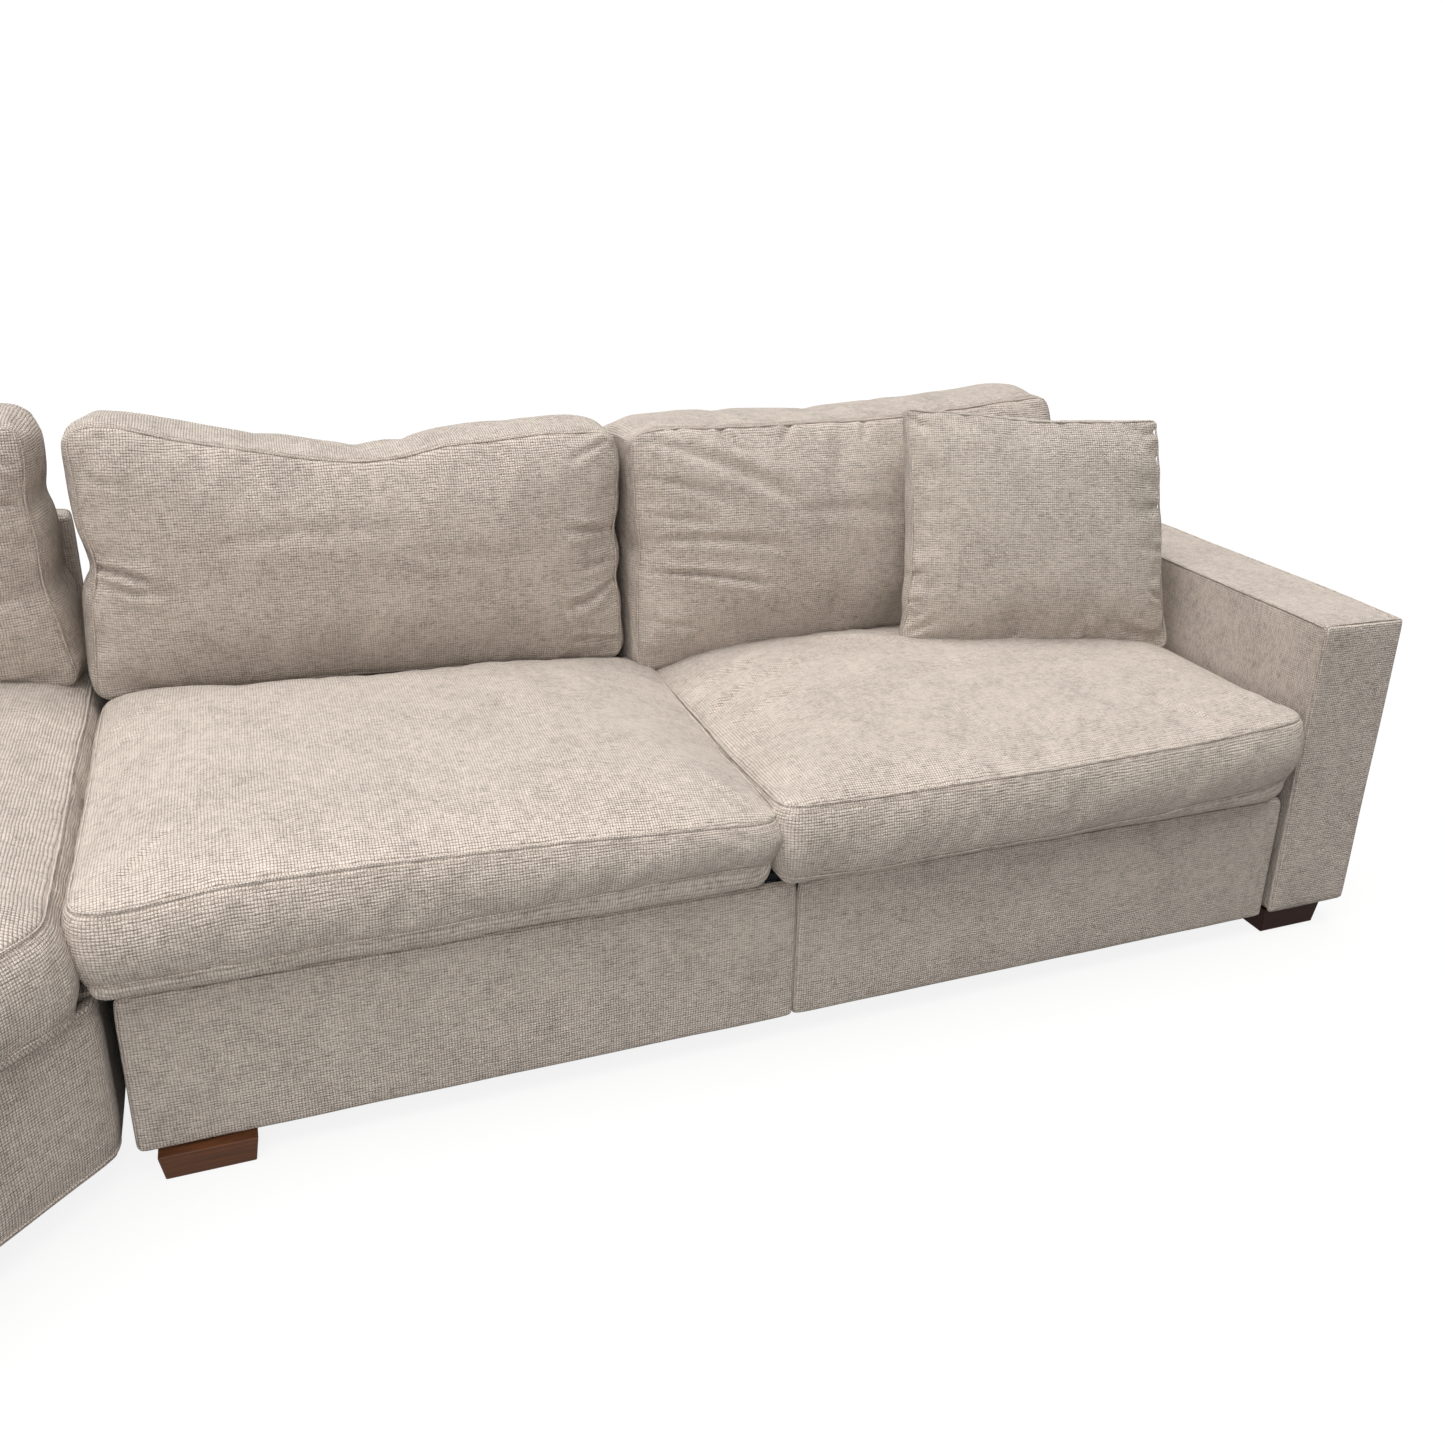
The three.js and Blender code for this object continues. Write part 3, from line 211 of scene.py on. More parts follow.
def chenille(name, color):
    """Woven chenille upholstery: plump threads over and under each other, each with its own
    slow change of tone, in a pile that lies in light and dark patches. The eye sees a soft
    grid with streaks, and no gloss. Its colour holds painted light: painted shade in the gaps
    between the threads, a painted highlight on their crowns, and the pile's patches and finer
    mottling painted lighter and darker as its sheen. Real threads stand 4.2 mm apart."""
    material, node, shader = new_material(name)
    pitch = upholstery().thread_pitch
    base = node("UVMap", uv_map="weave")
    waver = node("TexNoise", {"Vector": base, "Scale": 22.0, "Detail": 2.0}, "Color")
    aside = node("VectorMath SUBTRACT", (waver, (0.5, 0.5, 0.5)))
    wavered = node("VectorMath MULTIPLY_ADD", (aside, (0.0045, 0.0045, 0), base))
    x, y, _ = node("SeparateXYZ", (wavered,)).node.outputs
    across, along = node("Math DIVIDE", (x, pitch)), node("Math DIVIDE", (y, pitch * 1.04))
    columns, rows = node("Math FLOOR", (across,)), node("Math FLOOR", (along,))

    def profile(value):
        centred = node("Math SUBTRACT", (node("Math FRACT", (value,)), 0.5))
        square = node("Math MULTIPLY", (centred, centred))
        return node("Math SQRT", (node("Math MULTIPLY_ADD", (square, -3.9, 1.0)),))

    def streak(x, y, seed):
        vector = node("CombineXYZ", (x, y, seed))
        return node("TexNoise", {"Vector": vector, "Scale": 1.0, "Detail": 3.0})

    warp_tone = streak(node("Math MULTIPLY", (columns, 7.31)), node("Math MULTIPLY", (y, 46.0)), 1.7)
    weft_tone = streak(node("Math MULTIPLY", (x, 38.0)), node("Math MULTIPLY", (rows, 5.77)), 8.2)
    over = node("Math FLOORED_MODULO", (node("Math ADD", (columns, rows)), 2.0))
    tone = node("Mix", {0: over, 2: warp_tone, 3: weft_tone}, data_type="FLOAT")
    warp_height, weft_height = profile(across), profile(along)
    top_height = node("Mix", {0: over, 2: warp_height, 3: weft_height}, data_type="FLOAT")
    both = node("Math MULTIPLY", (warp_height, weft_height))
    height = node("Math MULTIPLY_ADD", (both, 0.55, node("Math MULTIPLY", (top_height, 0.45))))
    fuzz = node("TexNoise", {"Vector": base, "Scale": 900.0, "Detail": 2.0})
    patches = node(
        "TexNoise", {"Vector": base, "Scale": 11.0, "Detail": 4.0, "Roughness": 0.6, "Distortion": 0.8})
    brushed = node("TexNoise", {"Vector": base, "Scale": 55.0, "Detail": 3.0, "Roughness": 0.7})
    crushed = node("VectorMath MULTIPLY", (wavered, (75.0, 300.0, 1.0)))
    crackle = node("TexNoise", {"Vector": crushed, "Scale": 1.0, "Detail": 1.5, "Distortion": 0.6})

    # Painted light: the weave's height darkens the gaps between the threads as painted shade and lightens their
    # crowns as a painted highlight; the pile's patches and finer brushed mottling are its sheen, painted as lighter
    # and darker tone
    light = node("Math MULTIPLY_ADD", (height, 0.85, 0.12))
    for value, weight in ((tone, 0.9), (patches, 0.66), (brushed, 0.6), (crackle, 0.95), (fuzz, 0.45)):
        light = node("Math MULTIPLY_ADD", (node("Math SUBTRACT", (value, 0.5)), weight, light))
    # The dark end carries the painted shade in the gaps, and the pale end the painted highlight and sheen, along
    # with the threads' own darker and paler tones
    dark = [c * share for c, share in zip(color, (0.46, 0.41, 0.37))]
    pale = [min(1.0, c * 1.28 + 0.02) for c in color]
    shade = colored(node("ValToRGB", (light,)), ((0.08, dark), (1.0, pale), (0.6, color)))
    relief = node("Math MULTIPLY_ADD", (crackle, 1.3, node("Math MULTIPLY_ADD", (fuzz, 0.4, height))))
    dress(node, shader, shade, node("Math MULTIPLY_ADD", (fuzz, 0.12, 0.84)), relief, 0.95, 0.003)
    feed(shader, {"Specular IOR Level": 0.2, "Sheen Weight": 0.22, "Sheen Roughness": 0.45})
    return material


def stained_wood(name, color, gloss):
    """Stained hardwood under satin lacquer: long grain lines with darker pores along the foot, and
    a soft gloss. Grain lines stand about 3 mm apart."""
    material, node, shader = new_material(name)
    place = node("TexCoord", (), "Object")
    stretched = node("Mapping", {"Vector": place, "Scale": (9.0, 60.0, 330.0)})
    grain = node("TexNoise", {"Vector": stretched, "Scale": 1.0, "Detail": 5.0, "Roughness": 0.6})
    pores = node("TexNoise", {"Vector": stretched, "Scale": 5.0, "Detail": 2.0})
    figure = node("Math MULTIPLY_ADD", (pores, 0.35, node("Math MULTIPLY", (grain, 0.75))))
    dark, pale = [c * 0.42 for c in color], [min(1, c * 1.55) for c in color]
    shade = colored(node("ValToRGB", (figure,)), ((0.32, dark), (0.72, pale)))
    dress(node, shader, shade, node("Math MULTIPLY_ADD", (grain, 0.2, 0.38)), figure, 0.25, 0.0004)
    feed(shader, {"Specular IOR Level": gloss})
    return material


def enamelled_steel(name, color):
    """Steel plate in black baked enamel: even and half matt, with the faint orange peel of the coat
    and a little dust on it."""
    material, node, shader = new_material(name)
    place = node("TexCoord", (), "Object")
    peel = node("TexNoise", {"Vector": place, "Scale": 700.0, "Detail": 2.0})
    dust = node("TexNoise", {"Vector": place, "Scale": 30.0, "Detail": 5.0, "Roughness": 0.7})
    share = node("Math MULTIPLY", (dust, 0.16))
    shade = node("Mix", {"Factor": share, 6: color, 7: linear("#8C8780")}, 2, data_type="RGBA")
    dress(node, shader, shade, node("Math MULTIPLY_ADD", (dust, 0.3, 0.25)), peel, 0.12, 0.0002)
    return material


def moulded_abs(name, color):
    """Moulded ABS with a fine spark-eroded texture: dark, half matt, with grains under a millimetre
    drawn at 0.8 mm so that they show."""
    material, node, shader = new_material(name)
    place = node("TexCoord", (), "Object")
    grains = node("TexVoronoi", {"Vector": place, "Scale": 1250.0}, "Distance")
    cloud = node("TexNoise", {"Vector": place, "Scale": 14.0, "Detail": 3.0})
    share = node("Math MULTIPLY", (cloud, 0.12))
    shade = node("Mix", {"Factor": share, 6: color, 7: linear("#5A5A5E")}, 2, data_type="RGBA")
    dress(node, shader, shade, node("Math MULTIPLY_ADD", (grains, 0.2, 0.42)), grains, 0.3, 0.0002)
    return material


def black_cambric(name):
    """Black non-woven dust cloth: matt and nearly flat, with small bonded dimples 3 mm apart."""
    material, node, shader = new_material(name)
    place = node("TexCoord", (), "Object")
    dimples = node("TexVoronoi", {"Vector": place, "Scale": 330.0, "Randomness": 0.3}, "Distance")
    haze = node("TexNoise", {"Vector": place, "Scale": 40.0, "Detail": 4.0})
    shade = node("Mix", {"Factor": haze, 6: linear("#131316"), 7: linear("#24242A")}, 2, data_type="RGBA")
    dress(node, shader, shade, node("Math MULTIPLY_ADD", (haze, 0.1, 0.85)), dimples, 0.4, 0.0003)
    return material


def sewing_thread(name):
    """Bonded polyester sewing thread in the tone of the cover: round, with a slight gloss, its twist
    too fine to show as relief and so drawn as a soft change of tone, painted shade and light of the twist."""
    material, node, shader = new_material(name)
    # Painted shade and light of the thread's twist, drawn as a soft change of tone
    twist = node("TexNoise", {"Vector": node("TexCoord", (), "Object"), "Scale": 420.0, "Detail": 2.0})
    shade = node("Mix", {"Factor": twist, 6: linear("#A39486"), 7: linear("#CDBFB2")}, 2, data_type="RGBA")
    feed(shader, {"Base Color": shade, "Roughness": 0.6})
    return material


def finish_of(key):
    """The material of one finish, made when it is first asked for."""
    makers = {
        "woven_chenille": lambda: chenille(key, upholstery().seat_color),
        "pillow_chenille": lambda: chenille(key, upholstery().pillow_color),
        "walnut_stain": lambda: stained_wood(key, trim().walnut_color, 0.25),
        "espresso_stain": lambda: stained_wood(key, trim().espresso_color, 0.07),
        "black_enamel": lambda: enamelled_steel(key, trim().steel_color),
        "moulded_abs": lambda: moulded_abs(key, linear("#1B1B1D")),
        "black_cambric": lambda: black_cambric(key),
        "sewing_thread": lambda: sewing_thread(key),
    }
    return bpy.data.materials.get(key) or makers[key]()


# Upholstered forms
# A form is two facing panels, each a grid over the same plan, with a band round them. It is drawn
# with its upper panel up, in metres, and then put in its place by a matrix.


def in_scene(name, data):
    """An object that shows the data, in the scene."""
    obj = bpy.data.objects.new(name, data)
    bpy.context.scene.collection.objects.link(obj)
    return obj


def run_of(points):
    """Distances along a closed line, at each of its points and back at the first."""
    return np.concatenate([[0], np.cumsum(np.linalg.norm(np.roll(points, -1, 0) - points, axis=1))])


def unit(rows):
    return rows / np.maximum(np.linalg.norm(rows, axis=1), 1e-9)[:, None]


def rounded_outline(corners, radii, steps=6):
    """Closed outline of a plan with rounded corners, and how far along it each corner's middle is."""
    points, marks = [], []
    count = len(corners)
    for i, corner in enumerate(corners):
        corner = np.array(corner, float)
        before = np.array(corners[i - 1], float) - corner
        after = np.array(corners[(i + 1) % count], float) - corner
        before /= np.linalg.norm(before)
        after /= np.linalg.norm(after)
        half = math.acos(np.clip(before @ after, -1, 1)) / 2
        back = radii[i] / math.tan(half)
        middle = (before + after) / np.linalg.norm(before + after)
        centre = corner + middle * radii[i] / math.sin(half)
        start = corner + before * back - centre
        turn = math.pi - 2 * half
        for k in range(steps + 1):
            if k == steps // 2:
                marks.append(len(points))
            angle = turn * k / steps
            c, s = math.cos(angle), math.sin(angle)
            points.append(centre + np.array([c * start[0] - s * start[1], s * start[0] + c * start[1]]))
    points = np.array(points)
    lengths = run_of(points)
    return points, lengths, [lengths[m] for m in marks]


def outline_side(outline, start, end, shares):
    """Points and outward normals of the outline between two corners, at shares of the way."""
    points, lengths, marks = outline
    total = lengths[-1]
    first, last = marks[start], marks[end]
    if last <= first:
        last += total
    places = (first + np.asarray(shares) * (last - first)) % total
    closed = np.vstack([points, points[:1]])
    at = lambda d: np.stack([np.interp(d % total, lengths, closed[:, i]) for i in (0, 1)], 1)
    here = at(places)
    tangent = unit(at(places + 0.0006) - at(places - 0.0006))
    return here, np.stack([tangent[:, 1], -tangent[:, 0]], 1), last - first


def stations(length, step, ends):
    """Shares along a side: close together at its ends and even between them."""
    inner = np.linspace(ends[-1], length - ends[-1], max(2, int(round((length - 2 * ends[-1]) / step)) + 1))
    every = np.concatenate([[0], ends[:-1], inner, length - np.array(ends[:-1])[::-1], [length]])
    return every / length


def edge_ends(radius):
    """Distances from an edge at which a quarter round of that radius is drawn."""
    return [radius * (1 - math.cos(math.radians(a))) for a in (30, 60, 90)]


def round_rise(radius):
    """Rise of a panel over its edge where the edge is a quarter round."""
    return lambda d: np.sqrt(np.clip(radius**2 - (radius - np.minimum(d, radius)) ** 2, 0, None)) - radius


def soft_rise(height, reach):
    """Rise of a padded panel over its seam, steep at first and then level."""
    return lambda d: height * (1 - np.exp(-d / reach)) ** 0.8


class Form:
    """A boxed form before it becomes a mesh."""

    def __init__(self, corners, radii, sides, levels, step, ends, rows, upper, lower, band, draw=0.0):
        outline = rounded_outline(corners, radii)
        length = lambda i: outline_side(outline, sides[i], sides[(i + 1) % 4], [0])[2]
        us = stations((length(0) + length(2)) / 2, step, ends)
        vs = stations((length(1) + length(3)) / 2, step, ends)
        edges = []
        for i, shares in enumerate((us, vs, us, vs)):
            point, normal, _ = outline_side(outline, sides[i], sides[(i + 1) % 4], shares)
            edges.append((point - normal * (draw * np.sin(math.pi * shares))[:, None], normal))
        south, east, north, west = edges
        n, w = north[0][::-1], west[0][::-1]
        s, e = south[0], east[0]
        u, v = us[:, None, None], vs[None, :, None]
        grid = (
            (1 - v) * s[:, None] + v * n[:, None] + (1 - u) * w[None] + u * e[None]
            - ((1 - u) * (1 - v) * s[0] + u * (1 - v) * s[-1] + (1 - u) * v * n[0] + u * v * n[-1]))
        far = lambda a, b: np.minimum(np.linalg.norm(grid - a, axis=2), np.linalg.norm(grid - b, axis=2))
        self.du = far(grid[:1], grid[-1:])
        self.dv = far(grid[:, :1], grid[:, -1:])
        self.nu, self.nv = len(us), len(vs)
        inside = lambda shape: shape(self.du, self.dv, grid)
        top = np.dstack([grid, levels[1] + inside(upper)])
        bottom = np.dstack([grid, levels[0] - inside(lower)])
        ring = (
            [(i, 0) for i in range(self.nu - 1)] + [(self.nu - 1, j) for j in range(self.nv - 1)]
            + [(i, self.nv - 1) for i in range(self.nu - 1, 0, -1)] + [(0, j) for j in range(self.nv - 1, 0, -1)])
        normals = np.vstack([edge[1][:-1] for edge in edges])
        count = self.nu * self.nv
        self.top_loop = [i * self.nv + j for i, j in ring]
        self.bottom_loop = [count + i for i in self.top_loop]
        points = [top.reshape(-1, 3), bottom.reshape(-1, 3)]
        low = points[1][self.top_loop]
        high = points[0][self.top_loop]
        loops = [self.bottom_loop]
        start = 2 * count
        for share in rows:
            ring_points = low + (high - low) * share
            ring_points[:, :2] += normals * band(share)
            points.append(ring_points)
            loops.append(list(range(start, start + len(ring))))
            start += len(ring)
        loops.append(self.top_loop)
        self.loops = loops
        self.points = np.vstack(points)
        self.faces = []
        for i in range(self.nu - 1):
            for j in range(self.nv - 1):
                a, b = i * self.nv + j, (i + 1) * self.nv + j
                self.faces.append((a, b, b + 1, a + 1))
                self.faces.append((count + a, count + a + 1, count + b + 1, count + b))
        along = run_of(low)
        self.band_uv = {}
        for r in range(len(loops) - 1):
            for k in range(len(ring)):
                m = (k + 1) % len(ring)
                self.band_uv[len(self.faces)] = (
                    (along[k], r), (along[k + 1], r), (along[k + 1], r + 1), (along[k], r + 1))
                self.faces.append((loops[r][k], loops[r][m], loops[r + 1][m], loops[r + 1][k]))

    def edge(self, corner):
        """Vertices along one upright edge of the band."""
        at = (0, self.nu - 1, self.nu + self.nv - 2, 2 * self.nu + self.nv - 3)[corner]
        return [loop[at] for loop in self.loops]

    def mesh(self, name):
        """The mesh object with its weave UV map and the place of each vertex as drawn."""
        mesh = bpy.data.meshes.new(name)
        mesh.from_pydata(self.points.tolist(), [], self.faces)
        uv = mesh.uv_layers.new(name="weave")
        flat = np.zeros((len(mesh.loops), 2))
        heights = [self.points[loop][:, 2].mean() for loop in self.loops]
        index = 0
        for f, face in enumerate(self.faces):
            for c, vertex in enumerate(face):
                if f in self.band_uv:
                    along, row = self.band_uv[f][c]
                    flat[index] = (along, heights[row])
                else:
                    flat[index] = self.points[vertex][:2]
                index += 1
        uv.data.foreach_set("uv", flat.ravel())
        drawn = mesh.attributes.new("drawn", "FLOAT_VECTOR", "POINT")
        drawn.data.foreach_set("vector", self.points.ravel())
        side = mesh.attributes.new("panel", "FLOAT", "POINT")
        panels = np.full(len(self.points), 1.0)
        panels[: self.nu * self.nv] = 0
        panels[self.nu * self.nv : 2 * self.nu * self.nv] = 2
        side.data.foreach_set("value", panels)
        mesh.polygons.foreach_set("use_smooth", [True] * len(mesh.polygons))
        return in_scene(name, mesh)


def read(data, key, width=3):
    """One property of every element, as rows of numbers."""
    flat = np.empty(len(data) * width, np.float32)
    data.foreach_get(key, flat)
    return flat.reshape(-1, width).astype(float) if width > 1 else flat


def coordinates(obj):
    return read(obj.data.vertices, "co")


def set_coordinates(obj, points):
    obj.data.vertices.foreach_set("co", np.asarray(points, np.float32).ravel())
    obj.data.update()


def normals_of(obj):
    return read(obj.data.vertices, "normal")


CLOTH_STIFFNESS = 14.0


def swell(obj, pins, growth, cap=None, pressure=None):
    """Lets the filling press the cover out as cloth that is held at its seams, and keeps the result."""
    made = upholstery()
    cap = cap or made.swell_cap
    scene = bpy.context.scene
    group = obj.vertex_groups.new(name="held")
    for weight in np.unique(pins):
        if weight > 0:
            group.add([int(i) for i in np.nonzero(pins == weight)[0]], float(weight), "REPLACE")
    cloth = obj.modifiers.new("Cover", "CLOTH")
    values = {
        "quality": 5, "mass": 0.3, "air_damping": 2.0, "tension_stiffness": CLOTH_STIFFNESS,
        "compression_stiffness": CLOTH_STIFFNESS, "shear_stiffness": CLOTH_STIFFNESS / 3, "bending_stiffness": 0.35,
        "use_pressure": True, "uniform_pressure_force": pressure or made.filling, "shrink_min": -growth,
        "vertex_group_mass": group.name}
    for key, value in values.items():
        setattr(cloth.settings, key, value)
    cloth.settings.effector_weights.gravity = 0
    cloth.collision_settings.use_collision = False
    cloth.point_cache.frame_start = 1
    cloth.point_cache.frame_end = made.frames
    before = coordinates(obj)
    for step in range(1, made.frames + 1):
        scene.frame_set(step)  # the simulation goes on from frame to frame
    evaluated = obj.evaluated_get(bpy.context.evaluated_depsgraph_get())
    after = read(evaluated.data.vertices, "co")
    obj.modifiers.remove(cloth)
    obj.vertex_groups.remove(group)
    scene.frame_set(1)
    if not np.isfinite(after).all():
        raise RuntimeError(f"the cover of {obj.name} did not settle")
    move = after - before
    far = np.linalg.norm(move, axis=1)
    move *= (cap * np.tanh(far / cap) / np.maximum(far, 1e-9))[:, None]
    set_coordinates(obj, before + move)


def sink_seams(obj, form, rows, depth):
    """Draws seams a little into the cover, and keeps the places of the form's vertices."""
    points, normals = coordinates(obj), normals_of(obj)
    points[rows] -= normals[rows] * depth
    set_coordinates(obj, points)
    form.final = points


def finer(obj, levels=1):
    """Applies a subdivision."""
    modifier = obj.modifiers.new("Finer", "SUBSURF")
    modifier.levels = modifier.render_levels = levels
    modifier.uv_smooth = "PRESERVE_CORNERS"
    evaluated = obj.evaluated_get(bpy.context.evaluated_depsgraph_get())
    mesh = bpy.data.meshes.new_from_object(evaluated)
    obj.modifiers.remove(modifier)
    old = obj.data
    obj.data = mesh
    bpy.data.meshes.remove(old)


def crease(obj, rows):
    """Presses folds into the upper panel. A row is (x0, y0, x1, y1, depth, width, bow), in metres."""
    drawn = read(obj.data.attributes["drawn"].data, "vector")
    share = np.clip(1 - np.abs(read(obj.data.attributes["panel"].data, "value", 1)), 0, 1)
    points, normals = coordinates(obj), normals_of(obj)
    push = np.zeros(len(points))
    for x0, y0, x1, y1, depth, width, bow in rows:
        start, run = np.array([x0, y0]), np.array([x1 - x0, y1 - y0])
        length = np.linalg.norm(run)
        along, across = run / length, np.array([-run[1], run[0]]) / length
        rel = drawn[:, :2] - start
        t = (rel @ along) / length
        d = rel @ across - bow * np.sin(np.clip(t, 0, 1) * math.pi)
        taper = np.clip(np.sin(np.clip(t, 0, 1) * math.pi), 0, 1) ** 0.6
        taper = np.where((t < 0) | (t > 1), 0, taper)
        w = width * (0.55 + 0.45 * np.clip(t, 0, 1))
        valley = np.exp(-((d / w) ** 2))
        ridge = np.exp(-(((d - 1.9 * w) / (1.3 * w)) ** 2)) + np.exp(-(((d + 1.9 * w) / (1.3 * w)) ** 2))
        push += depth * taper * (0.45 * ridge - valley)
    set_coordinates(obj, points + normals * (push * share)[:, None])


def rumple(obj, amount, size, seed):
    """Adds low, rounded unevenness."""
    rng = np.random.default_rng(seed)
    points, normals = coordinates(obj), normals_of(obj)
    drawn = read(obj.data.attributes["drawn"].data, "vector")
    push = np.zeros(len(points))
    for _ in range(14):
        direction = rng.normal(size=3)
        direction /= np.linalg.norm(direction)
        wave = size * rng.uniform(0.6, 1.7)
        push += np.sin(drawn @ direction * 2 * math.pi / wave + rng.uniform(0, 6.28)) / 14**0.5
    set_coordinates(obj, points + normals * (push * amount)[:, None])


def surface_of(obj):
    points = [Vector(p) for p in coordinates(obj)]
    return BVHTree.FromPolygons(points, [tuple(p.vertices) for p in obj.data.polygons])


def tube(name, paths, half, height, finish):
    """Folded seam: a low rounded strip along each path. A path is (points, normals, closed)."""
    section = [(math.cos(a) * half, math.sin(a) * height) for a in np.linspace(0, 2 * math.pi, 7)[:-1]]
    vertices, faces, uvs = [], [], []
    for points, normals, closed in paths:
        points, normals = np.asarray(points), np.asarray(normals)
        count = len(points)
        ahead = np.roll(points, -1, 0) - np.roll(points, 1, 0)
        if not closed:
            ahead[0], ahead[-1] = points[1] - points[0], points[-1] - points[-2]
        ahead = unit(ahead)
        side = unit(np.cross(normals, ahead))
        up = np.cross(ahead, side)
        base = len(vertices)
        run = run_of(points)
        for p, s, n in zip(points, side, up):
            vertices += [tuple(p + s * a + n * b) for a, b in section]
        rings = count if closed else count - 1
        size = len(section)
        for i in range(rings):
            j = (i + 1) % count
            for k in range(size):
                m = (k + 1) % size
                faces.append((base + i * size + k, base + i * size + m, base + j * size + m, base + j * size + k))
                near, far = k * half, (k + 1) * half
                uvs.append([(run[i], near), (run[i], far), (run[i + 1], far), (run[i + 1], near)])
        if not closed:
            for start, order in ((base, -1), (base + (count - 1) * size, 1)):
                faces.append(tuple(range(start, start + size))[::-order])
                uvs.append([(0, 0)] * size)
    mesh = bpy.data.meshes.new(name)
    mesh.from_pydata(vertices, [], faces)
    layer = mesh.uv_layers.new(name="weave")
    layer.data.foreach_set("uv", [c for face in uvs for point in face for c in point])
    mesh.polygons.foreach_set("use_smooth", [True] * len(mesh.polygons))
    turned = bmesh.new()
    turned.from_mesh(mesh)
    bmesh.ops.recalc_face_normals(turned, faces=turned.faces)
    turned.to_mesh(mesh)
    turned.free()
    mesh.materials.append(finish)
    return in_scene(name, mesh)


def stitch_tree():
    """Node tree that lays stitches along paths: one small rounded bar at each step."""
    tree = bpy.data.node_groups.get("stitch_row")
    if tree:
        return tree
    tree = bpy.data.node_groups.new("stitch_row", "GeometryNodeTree")
    node, socket = partial(add, tree), tree.interface.new_socket
    socket("Geometry", in_out="INPUT", socket_type="NodeSocketGeometry")
    for name in ("Pitch", "Length", "Thickness"):
        socket(name, in_out="INPUT", socket_type="NodeSocketFloat")
    socket("Thread", in_out="INPUT", socket_type="NodeSocketMaterial")
    socket("Geometry", in_out="OUTPUT", socket_type="NodeSocketGeometry")
    source = node("NodeGroupInput").node.outputs
    curve = node("GeometryNodeMeshToCurve", {"Mesh": source["Geometry"]})
    even = node("GeometryNodeResampleCurve", {"Curve": curve, "Length": source["Pitch"]}, mode="LENGTH")
    turn = node("FunctionNodeAlignRotationToVector", {"Vector": node("GeometryNodeInputTangent")}, axis="Z")
    bar = node(
        "GeometryNodeMeshCylinder",
        {"Vertices": 5, "Side Segments": 2, "Radius": source["Thickness"], "Depth": source["Length"]}, "Mesh")
    bars = node("GeometryNodeInstanceOnPoints", {"Points": even, "Instance": bar, "Rotation": turn})
    real = node("GeometryNodeRealizeInstances", (bars,))
    node("NodeGroupOutput", (node("GeometryNodeSetMaterial", {"Geometry": real, "Material": source["Thread"]}),))
    return tree


def stitches(name, paths):
    """Stitches along paths of points."""
    vertices, edges = [], []
    for points, closed in paths:
        base, count = len(vertices), len(points)
        vertices += [tuple(p) for p in points]
        edges += [(base + i, base + i + 1) for i in range(count - 1)]
        if closed:
            edges.append((base + count - 1, base))
    mesh = bpy.data.meshes.new(name)
    mesh.from_pydata(vertices, edges, [])
    path = in_scene(name, mesh)
    modifier = path.modifiers.new("Stitches", "NODES")
    modifier.node_group = stitch_tree()
    pitch = upholstery().stitch_pitch
    values = {
        "Pitch": pitch, "Length": pitch * 0.66, "Thickness": 0.0006, "Thread": finish_of("sewing_thread")}
    for item in modifier.node_group.interface.items_tree:
        if item.in_out == "INPUT" and item.name in values:
            modifier[item.identifier] = values[item.name]
    evaluated = path.evaluated_get(bpy.context.evaluated_depsgraph_get())
    result = bpy.data.meshes.new_from_object(evaluated)
    path.modifiers.remove(modifier)
    if not result.polygons:
        raise RuntimeError(f"{name} has no stitches")
    path.data = result
    bpy.data.meshes.remove(mesh)
    return path


def place_piece(obj, matrix, body, finish=None, replaces=()):
    """Puts the place of a finished piece in its mesh and ties it to its body."""
    if matrix is not None:
        obj.data.transform(matrix)
    if finish is not None:
        obj.data.materials.clear()
        obj.data.materials.append(finish_of(finish))
    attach(obj, body)
    if replaces:
        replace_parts(obj, *replaces)


def evened(values, closed, times):
    """Values along a path with their small jumps smoothed out."""
    ends = values[[0, -1]]
    for _ in range(times):
        values = (np.roll(values, 1, 0) + 2 * values + np.roll(values, -1, 0)) / 4
        if not closed:
            values[[0, -1]] = ends
    return values


def outline_seams(name, obj, form, loops, matrix, body, finish, half, height, stitch=0.0, slot="fabric"):
    """Folded seams along lines of a form, and a row of stitches beside each. A line is the seam's
    vertices, those on the side of its stitches, and whether it closes."""
    tree = surface_of(obj)
    points = form.final
    seams, rows = [], []
    for loop, toward, closed in loops:
        line = points[loop]
        smooth = evened(line, closed, 2)
        found = [tree.find_nearest(Vector(p)) for p in smooth]
        places, normals = [np.array([np.array(f[i]) for f in found]) for i in (0, 1)]
        normals = evened(normals, closed, 2)
        seams.append((evened(places, closed, 1) + normals * height * 0.3, normals, closed))
        if stitch and toward is not None:
            aside = unit(points[toward] - line)
            near = [tree.find_nearest(Vector(p)) for p in smooth + aside * stitch]
            rows.append(([np.array(f[0]) + np.array(f[1]) * 0.0003 for f in near], closed))
    seam = tube(f"{name}_seams", seams, half, height, finish_of(finish))
    place_piece(seam, matrix, body, None)
    if rows:
        row = stitches(f"{name}_stitches", rows)
        place_piece(row, matrix, body, None)


# Cushions


def table(rows, share):
    """Smooth value of a table of (share, value) at shares."""
    xs, ys = [r[0] for r in rows], [r[1] for r in rows]
    fine = np.linspace(-0.1, 1.1, 241)
    raw = np.interp(fine, xs, ys)
    kernel = np.hanning(15)
    padded = np.pad(raw, 7, mode="edge")
    return np.interp(share, fine, np.convolve(padded, kernel / kernel.sum(), "valid"))


